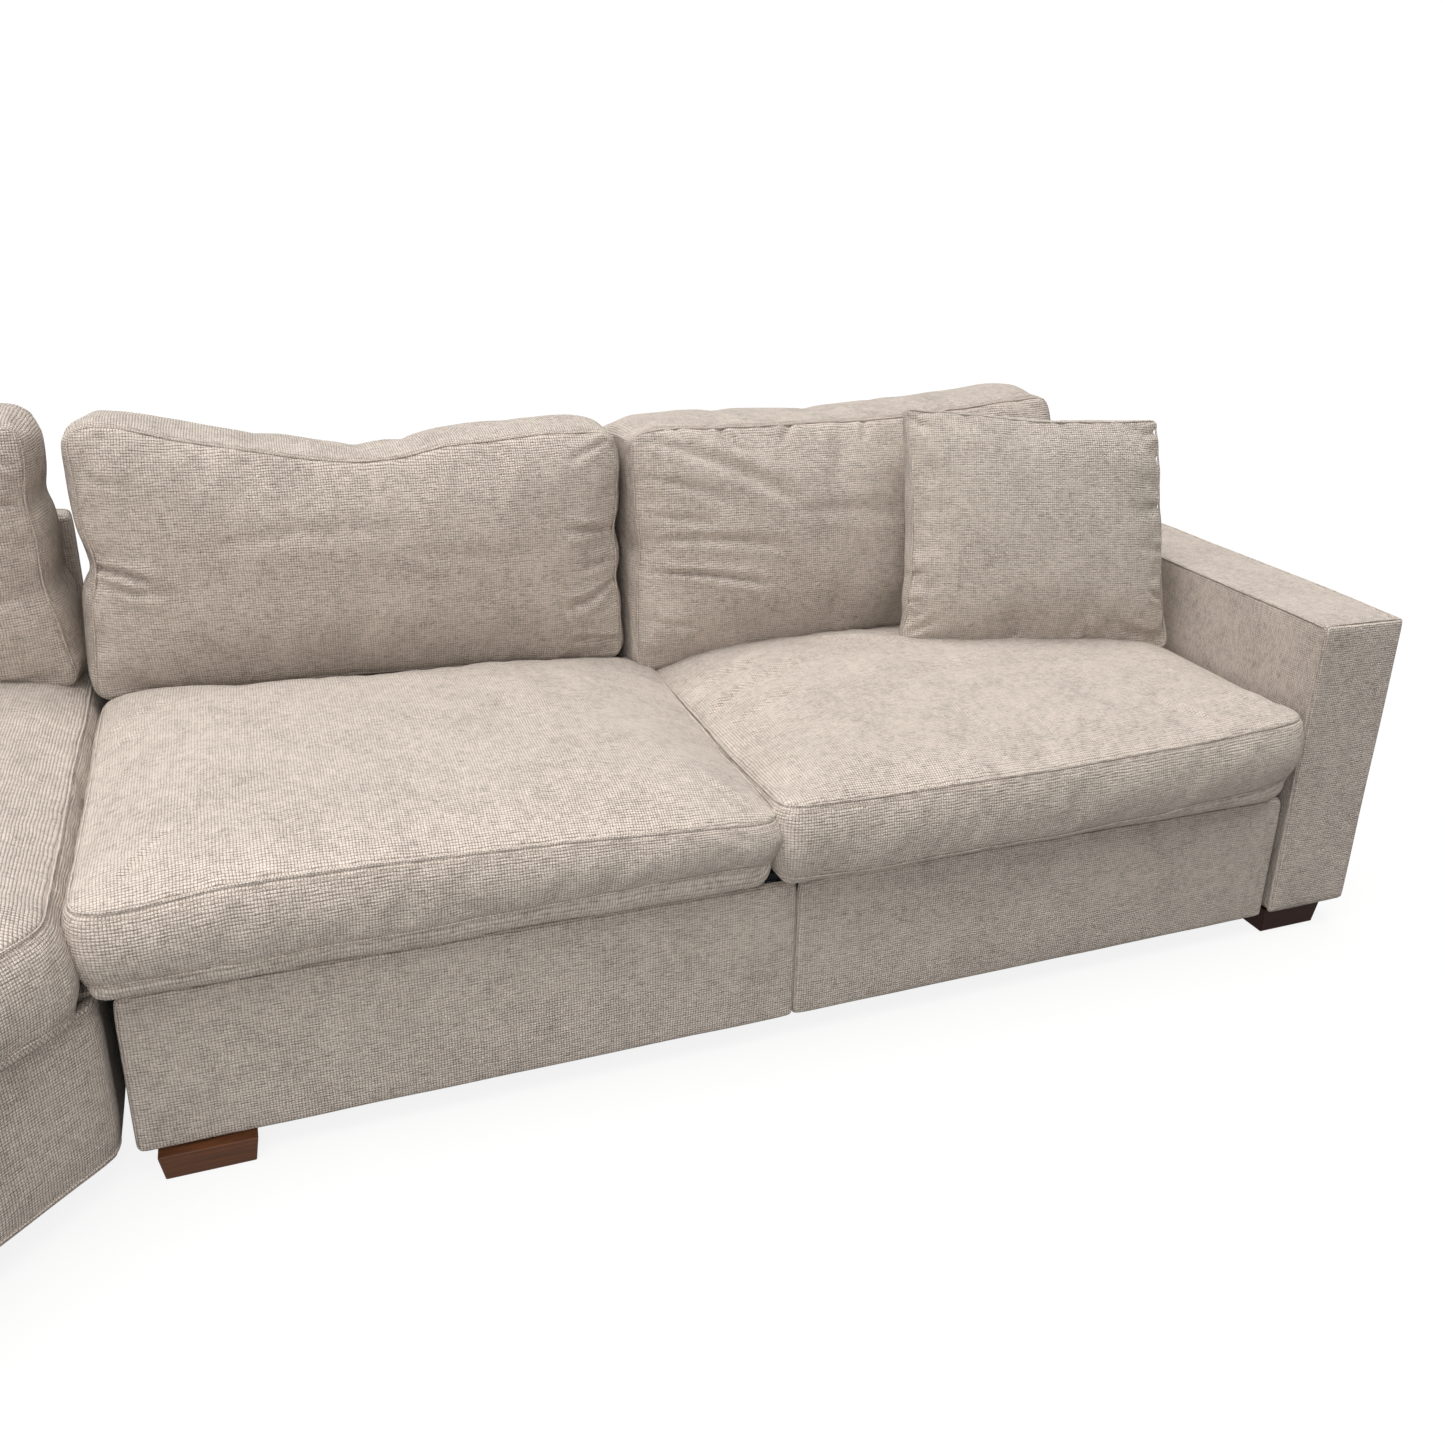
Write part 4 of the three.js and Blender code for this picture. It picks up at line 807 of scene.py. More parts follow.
SEAM_ENDS = [0.006, 0.014, 0.026]  # distances from a seam of the first lines of a cushion's panel
SEAM_SINK = 0.004  # how far the stuffed cover is drawn in at a seam
SEAM_HEIGHT = 0.0026  # rise of the folded seam
STITCH_ASIDE = 0.0085  # distance of the topstitching from the seam
RUMPLE_WAVE = 0.15  # length of the waves of its unevenness
UNDERCUT_REACH = 0.036  # distance from the seam at which a seat's underside rests
# Rows of vertices in a cushion's band, in shares of its height
CUSHION_ROWS = (0.06, 0.17, 0.33, 0.5, 0.67, 0.83, 0.94)
RECTANGLE = (0, 1, 2, 3)


def sewn_cushion(name, form, folds, seed, matrix, body, replaces, growth, rumpling=0.0014, limits=None):
    """Turns a form into a finished cushion: filled, folded, seamed and stitched. Limits are the
    places of neighbours that flatten its ends."""
    obj = form.mesh(f"{name}_cover")
    swell(obj, held_weights(form), growth)
    sink_seams(obj, form, form.top_loop + form.bottom_loop, SEAM_SINK)
    finer(obj, 2)
    crease(obj, folds)
    rumple(obj, rumpling, RUMPLE_WAVE, seed)
    if limits:
        points = coordinates(obj)
        points[:, 0] = np.clip(points[:, 0], *limits)
        set_coordinates(obj, points)
    loops = [(form.top_loop, form.loops[-3], True), (form.bottom_loop, form.loops[2], True)]
    half = upholstery().seam_width / 2
    outline_seams(name, obj, form, loops, matrix, body, "woven_chenille", half, SEAM_HEIGHT, STITCH_ASIDE)
    place_piece(obj, matrix, body, "woven_chenille", replaces)


def pinch(form, places, low, high):
    """Draws the outline in where a fold ends. A place is its shares of width and depth, how far it
    is drawn in and how wide, and the direction of the pull."""
    for a, b, depth, width, to_x, to_y in places:
        rel = form.points[:, :2] - (low[0] + a * (high[0] - low[0]), low[1] + b * (high[1] - low[1]))
        pull = depth * np.exp(-(rel**2).sum(1) / width**2)
        form.points[:, :2] += pull[:, None] * (to_x, to_y)


# Heights in metres of the upper and lower seam along the front of each seat cushion
SEAT_SEAMS = {
    "right": {
        "upper": [(0, 0.457), (0.16, 0.455), (0.47, 0.455), (0.77, 0.466), (1, 0.484)],
        "lower": [(0, 0.333), (0.16, 0.33), (0.57, 0.332), (0.87, 0.347), (1, 0.37)],
    },
    "left": {
        "upper": [(0, 0.456), (0.06, 0.452), (0.19, 0.467), (0.42, 0.465), (0.71, 0.453), (1, 0.437)],
        "lower": [(0, 0.345), (0.2, 0.345), (0.43, 0.35), (0.72, 0.36), (1, 0.368)],
    },
}

# Folds in the upper panel. Here and below a fold is its start and end in hundredths of the panel's
# width and depth, and its depth, width and bow in millimetres
SEAT_FOLDS = {
    "right": [
        (1, 66, 20, 78, 11, 13, 4), (1, 55, 24, 68, 12, 14, 6), (2, 43, 22, 53, 9, 14, 4),
        (3, 34, 15, 40, 6, 12, 0), (42, 8, 36, 36, 4, 13, 10), (50, 6, 47, 27, 3.5, 11, -10),
        (34, 42, 55, 50, 7, 20, 20), (80, 4, 72, 20, 6, 10, 0), (97, 42, 82, 36, 3.5, 12, 10),
        (93, 6, 84, 18, 4.5, 9, 0), (28, 82, 46, 66, 8, 16, 10), (58, 86, 70, 64, 8, 17, 10),
    ],
    "left": [
        (2, 72, 14, 80, 4, 10, 0), (2, 64, 12, 69, 3, 9, 0), (30, 5, 26, 20, 2.5, 11, 0), (62, 4, 60, 18, 3, 11, 0),
        (98, 55, 86, 46, 3.5, 12, 10), (6, 5, 13, 17, 4.5, 9, 0), (95, 5, 88, 16, 4, 9, 0),
        (30, 50, 60, 46, 2.5, 20, 20),
    ],
}
SEAT_REAR_RISE = {
    "right": [(0, -0.026), (0.12, -0.016), (0.3, -0.002), (1, 0.0)],
    "left": [(0, 0.012), (0.7, 0.002), (0.9, -0.01), (1, -0.02)],
}
GAP_FALL = {"right": (0, 0.026), "left": (1, 0.02)}  # the side next to the other seat, and how far it sinks
SEAT_LIP_SAG = 0.0055  # how far the lower panel hangs down before the deck
ARM_GAP = {"right": 0.026, "left": 0.0}  # how far the front corner beside the arm is drawn in


def folds_over(rows, low, high):
    """Folds in metres over a panel."""
    corner, span = np.array(low[:2]), np.array(high[:2]) - low[:2]
    folds = []
    for row in np.array(rows, float):
        start, end = [corner + span * row[i : i + 2] / 100 for i in (0, 2)]
        folds.append((*start, *end, *row[4:] / 1000))
    return folds


def held_weights(form, back=True):
    """How firmly each vertex of a cover is held: seams and the side that rests on something."""
    pins = np.zeros(len(form.points))
    count = form.nu * form.nv
    if back:
        pins[count : 2 * count] = 1
    pins[form.top_loop] = 1
    pins[form.bottom_loop] = 1
    return pins


def undercut(du, dv):
    """Fall of a seat's lower panel behind its seam, up to where it rests."""
    return np.sin(np.clip(np.minimum(du, dv) / UNDERCUT_REACH, 0, 1) * math.pi / 2)


def seat_cushion(name):
    """Boxed seat cushion: crowned upper panel, band between two topstitched seams."""
    low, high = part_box(f"{name}_seat_cushion")
    corners = [(low.x, low.y), (high.x - ARM_GAP[name], low.y), (high.x, high.y), (low.x, high.y)]
    rest, under, over = low.z, 0.34, 0.46
    width, depth = high.x - low.x, high.y - low.y
    lift = soft_rise(1.0, 0.03)

    def upper(du, dv, grid):
        x = np.clip((grid[:, :, 0] - low.x) / width, 0, 1)
        y = np.clip((grid[:, :, 1] - low.y) / depth, 0, 1)
        rear = table(SEAT_REAR_RISE[name], x) * np.clip((y - 0.3) / 0.45, 0, 1)
        arch = np.clip(4 * x * (1 - x), 0, 1) ** 0.7 * np.clip(2.6 * dv / depth, 0, 1) ** 0.7
        return lift(du) * lift(dv) * (0.018 + rear) + 0.013 * arch

    form = Form(
        corners, [0.038, 0.055 if ARM_GAP[name] else 0.038, 0.038, 0.038], RECTANGLE, (under, over),
        upholstery().cell, SEAM_ENDS, CUSHION_ROWS, upper, lambda du, dv, grid: undercut(du, dv) * 0.029,
        lambda t: 0.013 * math.sin(math.pi * t) ** 0.8, draw=0.004)
    seams = SEAT_SEAMS[name]
    points = form.points
    x_share = np.clip((points[:, 0] - low.x) / width, 0, 1)
    front = np.exp(-np.clip(points[:, 1] - low.y, 0, None) / 0.16)
    up = np.clip((points[:, 2] - under) / (over - under), 0, 1)
    upper_shift = (table(seams["upper"], x_share) - over) * front
    lower_shift = (table(seams["lower"], x_share) - under) * front
    low_share = np.clip((points[:, 2] - rest) / (under - rest), 0, 1)
    band_shift = lower_shift * (1 - up) + upper_shift * up
    points[:, 2] += np.where(points[:, 2] >= under, band_shift, lower_shift * low_share)
    side, fall = GAP_FALL[name]
    near = np.exp(-np.abs(x_share - side) * width / 0.09) * np.clip((points[:, 1] - low.y) / 0.25, 0, 1)
    points[:, 2] -= fall * up * near
    points[:, 2] = np.maximum(points[:, 2], rest + 0.0006)
    lip = (points[:, 2] < rest + 0.03) * np.clip((low.y + 0.075 - points[:, 1]) / 0.02, 0, 1)
    points[:, 2] -= SEAT_LIP_SAG * lip
    sewn_cushion(
        f"{name}_seat", form, folds_over(SEAT_FOLDS[name], low, high), 3 + len(name), None, "frame",
        [f"{name}_seat_cushion"], 0.012)


# Each back cushion: heights in metres of its top over its hinge in shares of its width, how far
# its face stands out past a plain one at its left and right ends and leans out towards its top,
# how far its lower corners spread and its lower edge hangs below a straight one, how far its upper
# right corner and its right end are drawn in, how far each end may pass its CAD box, its folds,
# and its pinches
BACKS = {
    "left": {
        "tops": [
            (0, 0.582), (0.05, 0.59), (0.09, 0.585), (0.22, 0.56), (0.31, 0.546), (0.42, 0.53), (0.5, 0.522),
            (0.58, 0.527), (0.66, 0.545), (0.85, 0.558), (0.95, 0.558), (1, 0.552),
        ],
        "fronts": (0.04, 0.072), "overhang": 0.04, "spreads": (0.014, 0.0),
        "drops": [(0, 0.016), (0.1, 0.012), (0.3, 0.012), (0.5, 0.015), (0.7, 0.016), (0.9, 0.017), (1, 0.019)],
        "taper": 0.0, "right_gap": 0.0, "sides": (0.03, -0.0015),
        "folds": [
            (0, 48, 13, 41, 13, 9, 6), (2, 41, 16, 38, 7, 10, 0), (99, 52, 87, 54, 7, 9, 0),
            (99, 31, 86, 21, 7, 10, 4), (99, 5, 89, 7, 9, 8, 0), (97, 88, 88, 80, 5, 9, 0),
            (99, 40, 90, 38, 5, 9, 0), (16, 52, 60, 57, 3, 20, 20), (2, 80, 10, 77, 3, 9, 0),
            (55, 50, 85, 47, 2.5, 20, -10),
        ],
        "pinches": [
            (0, 0.48, 0.016, 0.04, 1, 0), (1, 0.5, 0.008, 0.03, -1, 0), (1, 0.3, 0.008, 0.03, -1, 0),
            (1, 0.86, 0.01, 0.025, -1, 0),
        ],
    },
    "right": {
        "tops": [
            (0, 0.548), (0.07, 0.557), (0.22, 0.562), (0.45, 0.566), (0.6, 0.573), (0.75, 0.585), (0.88, 0.595),
            (1, 0.6),
        ],
        "fronts": (0.085, 0.085), "overhang": 0.0, "spreads": (0.004, 0.0),
        "drops": [(0, 0.048), (0.08, 0.04), (0.25, 0.02), (0.5, 0.01), (1, 0.004)],
        "taper": 0.055, "right_gap": 0.014, "sides": (-0.0015, 0.01),
        "folds": [
            (1, 34, 28, 26, 9, 8, 10), (2, 47, 32, 42, 6, 12, 10), (2, 88, 34, 60, 9, 17, 15),
            (2, 72, 20, 60, 5, 12, 10), (17, 95, 23, 80, 6, 10, 0), (34, 94, 31, 85, 5, 10, 0),
            (2, 58, 16, 53, 4, 10, 0), (30, 56, 60, 52, 4, 20, 10), (50, 94, 49, 84, 5, 10, 0),
            (2, 14, 12, 10, 4, 9, 0), (8, 93, 12, 84, 4, 9, 0),
        ],
        "pinches": [
            (0, 0.44, 0.008, 0.03, 1, 0), (0.11, 1, 0.004, 0.024, 0, -1), (0.23, 1, 0.004, 0.026, 0, -1),
        ],
    },
}


def hinge_of(name):
    """Place of a back's hinge in the row frame."""
    for joint in frame["joints"]:
        if joint["name"] == f"{name}_back_recline":
            return Vector(joint["pos_m"] if "pos_m" in joint else joint["pos"])
    raise RuntimeError(f"no hinge for the {name} back")


BACK_LEAN = math.radians(6)
BACK_SET = 0.0056  # the cushion's rear face stands before the hinge by the thickness of the back's arms


def back_matrix(name, forward=BACK_SET):
    """Place of what stands on a back's hinge and leans with it."""
    lean = Matrix.Rotation(-BACK_LEAN, 4, "X")
    place = hinge_of(name)
    return Matrix.Translation((0, place.y, place.z)) @ lean @ Matrix.Translation((0, -forward, 0)) @ STAND


def standing_cushion(name, low_x, high_x, low_y, high_y, tops, folds, matrix, body, replaces, seed, pinches=(),
                     fronts=(0.0, 0.0), spreads=(0.0, 0.0), drops=((0, 0.0), (1, 0.0)), taper=0.0,
                     overhang=0.0, limits=None):
    """Boxed back cushion, drawn lying on its back with its face up. Its band stands out past the
    seams by the swell."""
    swell_out = 0.013
    low = (low_x + swell_out * 0.8, low_y + swell_out * 0.6)
    high = (high_x - swell_out * 0.8, high_y - swell_out * 0.4)
    width, height = high[0] - low[0], high[1] - low[1]
    lift = soft_rise(1.0, 0.026)

    def upper(du, dv, grid):
        arch = np.clip(4 * du / width * (1 - du / width), 0, 1) * np.clip(4 * dv / height * (1 - dv / height), 0, 1)
        return lift(du) * lift(dv) * 0.022 + 0.02 * arch**0.8

    form = Form(
        rectangle(low[0], high[0], low[1], high[1]), [0.026] * 4, RECTANGLE, (0.02, 0.182), upholstery().cell,
        SEAM_ENDS, CUSHION_ROWS, upper, lambda du, dv, grid: lift(du) * lift(dv) * 0.018,
        lambda t: swell_out * math.sin(math.pi * t) ** 0.7, draw=0.006)
    points = form.points
    share = np.clip((points[:, 0] - low[0]) / width, 0, 1)
    up = np.clip((points[:, 1] - low_y) / height, 0, 1.1)
    points[:, 1] *= 1 + (table(tops, share) / high_y - 1) * up**1.2
    forward = fronts[0] * (1 - share) + fronts[1] * share + overhang * (up - 0.5)
    points[:, 2] += forward * np.clip((points[:, 2] - 0.02) / 0.162, 0, 1)
    fall = (1 - np.clip(up, 0, 1)) ** 2
    points[:, 0] += fall * (spreads[1] * share**2 - spreads[0] * (1 - share) ** 2)
    points[:, 0] -= taper * np.clip(up, 0, 1) ** 3 * np.clip((share - 0.6) / 0.4, 0, 1)
    points[:, 1] -= table(drops, share) * np.clip(1 - up / 0.4, 0, 1)
    pinch(form, pinches, low, high)
    sewn_cushion(name, form, folds_over(folds, low, high), seed, matrix, body, replaces, 0.02, 0.0018, limits)


# Covered frame parts


def covered_block(name, corners, radii, levels, edge, body, replaces, matrix=None, puff=0.003, rear_puff=0.003,
                  step=0.03, seed=1, sides=RECTANGLE, seams=("top",), finish="woven_chenille", edge_seams=(),
                  welt=(0.0026, 0.0019)):
    """Board or frame part under a padded cover, with rounded edges and seams along them."""
    rise = round_rise(edge)

    def panel(thick):
        def height(du, dv, grid):
            near = np.minimum(du, dv)
            return rise(near) + edge + thick * (1 - np.exp(-near / 0.035))

        return height

    depth = levels[1] - levels[0] - 2 * edge
    count = max(3, int(depth / step))
    rows = tuple((i + 1) / (count + 1) for i in range(count))
    form = Form(
        corners, radii, sides, (levels[0] + edge, levels[1] - edge), step, edge_ends(edge), rows, panel(puff),
        panel(rear_puff), lambda t: puff * min(1, 6 * t, 6 * (1 - t)))
    obj = form.mesh(name)
    sink_seams(obj, form, form.top_loop + form.bottom_loop, 0.0012 if seams else 0.0)
    finer(obj)
    rumple(obj, 0.0005, 0.2, seed)
    wanted = {"top": (form.top_loop, None), "bottom": (form.bottom_loop, None)}
    loops = [(*wanted[key], True) for key in seams]
    loops += [(form.edge(corner), None, False) for corner in edge_seams]
    if loops:
        outline_seams(name, obj, form, loops, matrix, body, finish, *welt)
    place_piece(obj, matrix, body, finish, replaces)
    return obj, form


def rectangle(low_a, high_a, low_b, high_b):
    return [(low_a, low_b), (high_a, low_b), (high_a, high_b), (low_a, high_b)]


ARM_TOP = 0.638
PLYWOOD_RAIL = 0.024
FEET = (
    "front_right_foot", "rear_right_foot", "front_left_foot", "rear_left_foot", "center_leg",
    "wedge_front_right_foot", "wedge_front_left_foot", "wedge_rear_right_foot", "wedge_rear_left_foot")
WALNUT_FEET = ("front_left_foot", "rear_left_foot")
PART_FINISHES = (
    ("left_wall", "black_cambric"), ("seat_deck", "black_cambric"), ("center_rail", "black_cambric"),
    ("front_stretcher", "black_cambric"), ("wedge_deck", "black_cambric"), ("rocker", "moulded_abs"),
    ("switch_plate", "moulded_abs"), ("actuator_body", "moulded_abs"), ("power_supply", "moulded_abs"),
    ("mechanism_base", "black_enamel"), ("links", "black_enamel"), ("bracket", "black_enamel"),
    ("actuator_rod", "black_enamel"), ("connector", "black_enamel"),
)

# Heights of the wedge's back cushions over their lower edge, in shares of their width
WEDGE_TOPS = [(0, 0.43), (0.2, 0.427), (0.5, 0.42), (0.8, 0.426), (0.93, 0.445), (1, 0.447)]
WEDGE_FOLDS = [
    (98.5, 72, 88, 77, 8, 10, 0), (99, 86, 90, 92, 8, 10, 0), (98, 38, 86, 36, 4, 11, 0),
    (98.5, 5, 87, 9, 6, 10, 10), (2, 50, 14, 46, 6, 11, 0), (30, 98, 32, 84, 5, 10, 0), (97, 60, 90, 60, 4, 9, 0),
    (70, 98, 72, 88, 4, 10, 0),
]
WEDGE_PINCHES = [(1, 0.72, 0.01, 0.03, -1, 0), (1, 0.4, 0.006, 0.04, -1, 0)]
WEDGE_OVERHANG = 0.034


def wedge_seat_cushion():
    """Five-sided boxed cushion with its front across the corner."""
    low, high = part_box("wedge_seat_cushion")
    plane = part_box("wedge_front_rail")[1].x - ARM_BOX[0].y + WEDGE_OVERHANG * math.sqrt(2)
    corners = [(high.x, high.x - plane), (high.x, high.y), (low.x, high.y), (low.x, low.y), (plane + low.y, low.y)]
    under, over = 0.326, 0.46
    lift = soft_rise(1.0, 0.03)
    width, depth = high.x - low.x, high.y - low.y

    def upper(du, dv, grid):
        return 0.022 * lift(du) * lift(dv) + 0.012 * np.clip(3 * du / width, 0, 1) * np.clip(3 * dv / depth, 0, 1)

    def lower(du, dv, grid):
        # The underside falls faster left of the slanted front, over the end rail
        behind = np.clip((plane + low.y - grid[:, :, 0]) / 0.1, 0, 1)
        return undercut(du * 3, dv * (1 + 2.5 * behind)) * (under - low.z - 0.0006)

    form = Form(
        corners, [0.1, 0.03, 0.03, 0.034, 0.1], (3, 0, 1, 2), (under, over), upholstery().cell * 1.6, SEAM_ENDS,
        CUSHION_ROWS, upper, lower,
        lambda t: 0.012 * math.sin(math.pi * t) ** 0.8, draw=0.003)
    points = form.points
    up = np.clip((points[:, 2] - under) / (over - under), 0, 1)
    points[:, 0] -= 0.014 * up * np.exp(-np.clip(high.x - points[:, 0], 0, None) / 0.12)
    folds = folds_over(WEDGE_SEAT_FOLDS, low, high)
    sewn_cushion("wedge_seat", form, folds, 9, None, "frame", ["wedge_seat_cushion"], 0.012)


WEDGE_SEAT_FOLDS = [
    (98, 60, 90, 62, 4, 10, 0), (98.5, 75, 90, 78, 3.5, 10, 0), (97, 45, 88, 50, 3, 12, 0),
    (30, 30, 50, 42, 3, 16, 10),
]


def covered_wall(
        node, name, sideways, foot, head, edge, puff, rear_puff, seams, seed, body="frame", top=None, **more):
    """Covered rail, back or panel that stands in its CAD box and faces the front or a side. Foot and
    head are the radii of its lower and upper corners."""
    low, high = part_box(node)
    left, right, rear, front = (low.y, high.y, low.x, high.x) if sideways else (low.x, high.x, -high.y, -low.y)
    covered_block(
        name, rectangle(left, right, low.z, top or high.z), [foot, foot, head, head], (rear, front), edge, body,
        [node], SIDEWAYS if sideways else STAND, puff=puff, rear_puff=rear_puff, seams=seams, seed=seed, **more)


# CAD node, name, whether it faces a side, and then as in covered_wall
WEDGE_WALLS = (
    ("wedge_rear_rail", "wedge_rear_rail_cover", False, 0.006, 0.014, 0.005, 0.001, 0.002, ("bottom",), 53),
    ("wedge_left_rail", "wedge_left_rail_cover", True, 0.004, 0.004, 0.004, 0.0005, 0.002, (), 55),
    ("wedge_right_rail", "wedge_right_rail_cover", True, 0.004, 0.004, 0.004, 0.0005, 0.001, (), 57),
    ("wedge_end_rail", "wedge_end_cover", False, 0.004, 0.004, 0.004, 0.001, 0.0005, (), 59),
    ("wedge_rear_back", "wedge_rear_back_cover", False, 0.006, 0.014, 0.008, 0.0005, 0.003, ("top", "bottom"), 61),
    ("wedge_side_back", "wedge_side_back_cover", True, 0.006, 0.014, 0.008, 0.0005, 0.003, ("top", "bottom"), 63),
)


def wedge_base():
    """Covered rails and backs of the corner wedge."""
    y0 = ARM_BOX[0].y
    low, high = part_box("wedge_front_rail")
    slant, leg = PLYWOOD_RAIL * math.sqrt(2), y0 - low.y
    corners = [(high.x, y0), (high.x, y0 + slant), (high.x - leg - slant, low.y), (high.x - leg, low.y)]
    covered_block(
        "wedge_front_cover", corners, [0.06, 0.002, 0.002, 0.04], (low.z, high.z), 0.008, "frame",
        ["wedge_front_rail"], puff=0.004, step=0.02, seams=("top", "bottom"), seed=51)
    deck_low, deck_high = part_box("wedge_deck")
    front = y0 + slant - (high.x - deck_high.x) + 0.001
    corners = [
        (deck_high.x, front), (deck_high.x, deck_high.y), (deck_low.x, deck_high.y), (deck_low.x, deck_low.y),
        (deck_high.x - front + deck_low.y, deck_low.y)]
    covered_block(
        "wedge_dust_cover", corners, [0.004] * 5, (low.z + 0.002, low.z + 0.004), 0.0006, "frame", None, None,
        puff=0.0, rear_puff=0.0, step=0.2, seed=65, sides=(3, 0, 1, 2), seams=(), finish="black_cambric")
    for wall in WEDGE_WALLS:
        covered_wall(*wall)


def back_shell(name, seed):
    """Covered shell behind a reclining back cushion."""
    low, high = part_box(f"{name}_back_frame")
    covered_block(
        f"{name}_back_shell", rectangle(low.x, high.x, 0.02, 0.45), [0.012, 0.012, 0.022, 0.022], (-0.066, 0.0),
        0.008, f"{name}_back", [f"{name}_back_frame"], back_matrix(name, 0.0), puff=0.0, rear_puff=0.004,
        seams=("bottom", "top"), seed=seed)


PILLOW_FOLDS = [
    (98.5, 93, 86, 88, 8, 9, 4), (99, 80, 91, 78, 6, 9, 0), (97, 5, 78, 12, 7, 11, 8), (98.5, 20, 90, 25, 5, 9, 0),
    (2, 7, 13, 13, 6, 9, 0), (20, 98, 24, 87, 3, 12, 0), (98, 60, 88, 58, 4, 10, 0), (98.5, 40, 92, 42, 4, 9, 0),
    (1, 30, 10, 33, 4, 9, 0), (1.5, 20, 7, 20, 4, 8, 0), (70, 2, 66, 10, 5, 10, 0), (40, 2, 42, 9, 4, 10, 0),
    (2, 94, 10, 88, 5, 9, 0), (56, 98, 55, 90, 3, 10, 0),
]
PILLOW_PINCHES = [
    (1, 0.86, 0.006, 0.044, -1, 0), (1, 0.3, 0.004, 0.05, -1, 0),
    (0, 0.3, 0.004, 0.03, 1, 0), (0, 0.14, 0.004, 0.028, 1, 0), (0.72, 0, 0.005, 0.036, 0, 1),
    (0.42, 0, 0.004, 0.036, 0, 1), (0.07, 1, 0.005, 0.03, 0, -1),
]
PILLOW = {"width": 0.55, "height": 0.48, "thick": 0.168, "pinch": 0.016, "turn": -14}


def pillow_matrix():
    """Stands the pillow where its CAD solid leans."""
    low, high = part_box("throw_pillow")
    centre = (low + high) / 2
    lean = Matrix.Rotation(math.radians(-14), 4, "X")
    turn = Matrix.Rotation(math.radians(PILLOW["turn"]), 4, "Z")
    return Matrix.Translation(centre) @ turn @ lean @ STAND


def throw_pillow():
    """Knife-edge pillow: two panels sewn along one seam, with pinched corners."""
    w, h = PILLOW["width"], PILLOW["height"]
    corners = [
        (-w / 2, -h / 2), (w / 2 + 0.018, -h / 2 - 0.004), (w / 2 - 0.038, h / 2 - 0.03),
        (-w / 2 + 0.002, h / 2 - 0.006)]

    def puff(du, dv, grid):
        x = np.clip(np.abs(grid[:, :, 0]) / (w / 2), 0, 1)
        y = np.clip(np.abs(grid[:, :, 1]) / (h / 2), 0, 1)
        dome = (np.clip(1 - x**3, 0, 1) * np.clip(1 - y**3, 0, 1)) ** 0.48
        return dome * (PILLOW["thick"] / 2 - 0.012)

    form = Form(
        corners, [0.02] * 4, RECTANGLE, (-0.0015, 0.0015), 0.014, [0.005, 0.012, 0.022], (0.5,), puff, puff,
        lambda t: 0.001, draw=PILLOW["pinch"])
    pinch(form, PILLOW_PINCHES, (-w / 2, -h / 2), (w / 2, h / 2))
    obj = form.mesh("throw_pillow_cover")
    pins = held_weights(form, back=False)
    swell(obj, pins, 0.03, cap=0.016, pressure=3.0)
    form.final = coordinates(obj)
    finer(obj, 2)
    crease(obj, folds_over(PILLOW_FOLDS, (-w / 2, -h / 2), (w / 2, h / 2)))
    rumple(obj, 0.0013, 0.12, 71)
    place = pillow_matrix()
    outline_seams(
        "throw_pillow", obj, form, [(form.top_loop, None, True)], place, "frame", "pillow_chenille", 0.0026, 0.0022,
        slot="pillow_fabric")
    place_piece(obj, place, "frame", "pillow_chenille", ["throw_pillow"])


def softened_copy(node, bevel, finish):
    """A copy of a CAD part with its edges rounded."""
    source = frame["nodes"][node]
    work = bmesh.new()
    work.from_mesh(source.data)
    bmesh.ops.remove_doubles(work, verts=work.verts, dist=1e-5)
    bmesh.ops.dissolve_limit(work, angle_limit=math.radians(2), verts=work.verts, edges=work.edges)
    sharp = [e for e in work.edges if len(e.link_faces) == 2 and e.calc_face_angle() > math.radians(25)]
    bmesh.ops.bevel(work, geom=sharp, offset=bevel, segments=3, profile=0.6, affect="EDGES")
    mesh = bpy.data.meshes.new(f"{node}_finished")
    work.to_mesh(mesh)
    work.free()
    obj = in_scene(f"{node}_finished", mesh)
    body = next(name for name, empty in frame["bodies"].items() if source.parent is empty)
    place_piece(obj, None, body, finish, [node])


# Operators


class SOFA_OT_seat_cushions(bpy.types.Operator):
    """Builds the two seat cushions"""

    bl_idname = "sofa.seat_cushions"
    bl_label = "Seat cushions"

    def execute(self, context):
        for name in SEATS:
            seat_cushion(name)
        return {"FINISHED"}


class SOFA_OT_back_cushions(bpy.types.Operator):
    """Builds the two reclining back cushions"""

    bl_idname = "sofa.back_cushions"
    bl_label = "Back cushions"

    def execute(self, context):
        for i, name in enumerate(SEATS):
            low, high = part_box(f"{name}_back_cushion")
            shape = dict(BACKS[name])
            right_gap, sides = shape.pop("right_gap"), shape.pop("sides")
            standing_cushion(
                f"{name}_back_pad", low.x - 0.004, high.x - right_gap, 0.122, 0.596, matrix=back_matrix(name),
                body=f"{name}_back", replaces=[f"{name}_back_cushion"], seed=11 + i,
                limits=(low.x - sides[0], high.x + sides[1]), **shape)
        return {"FINISHED"}


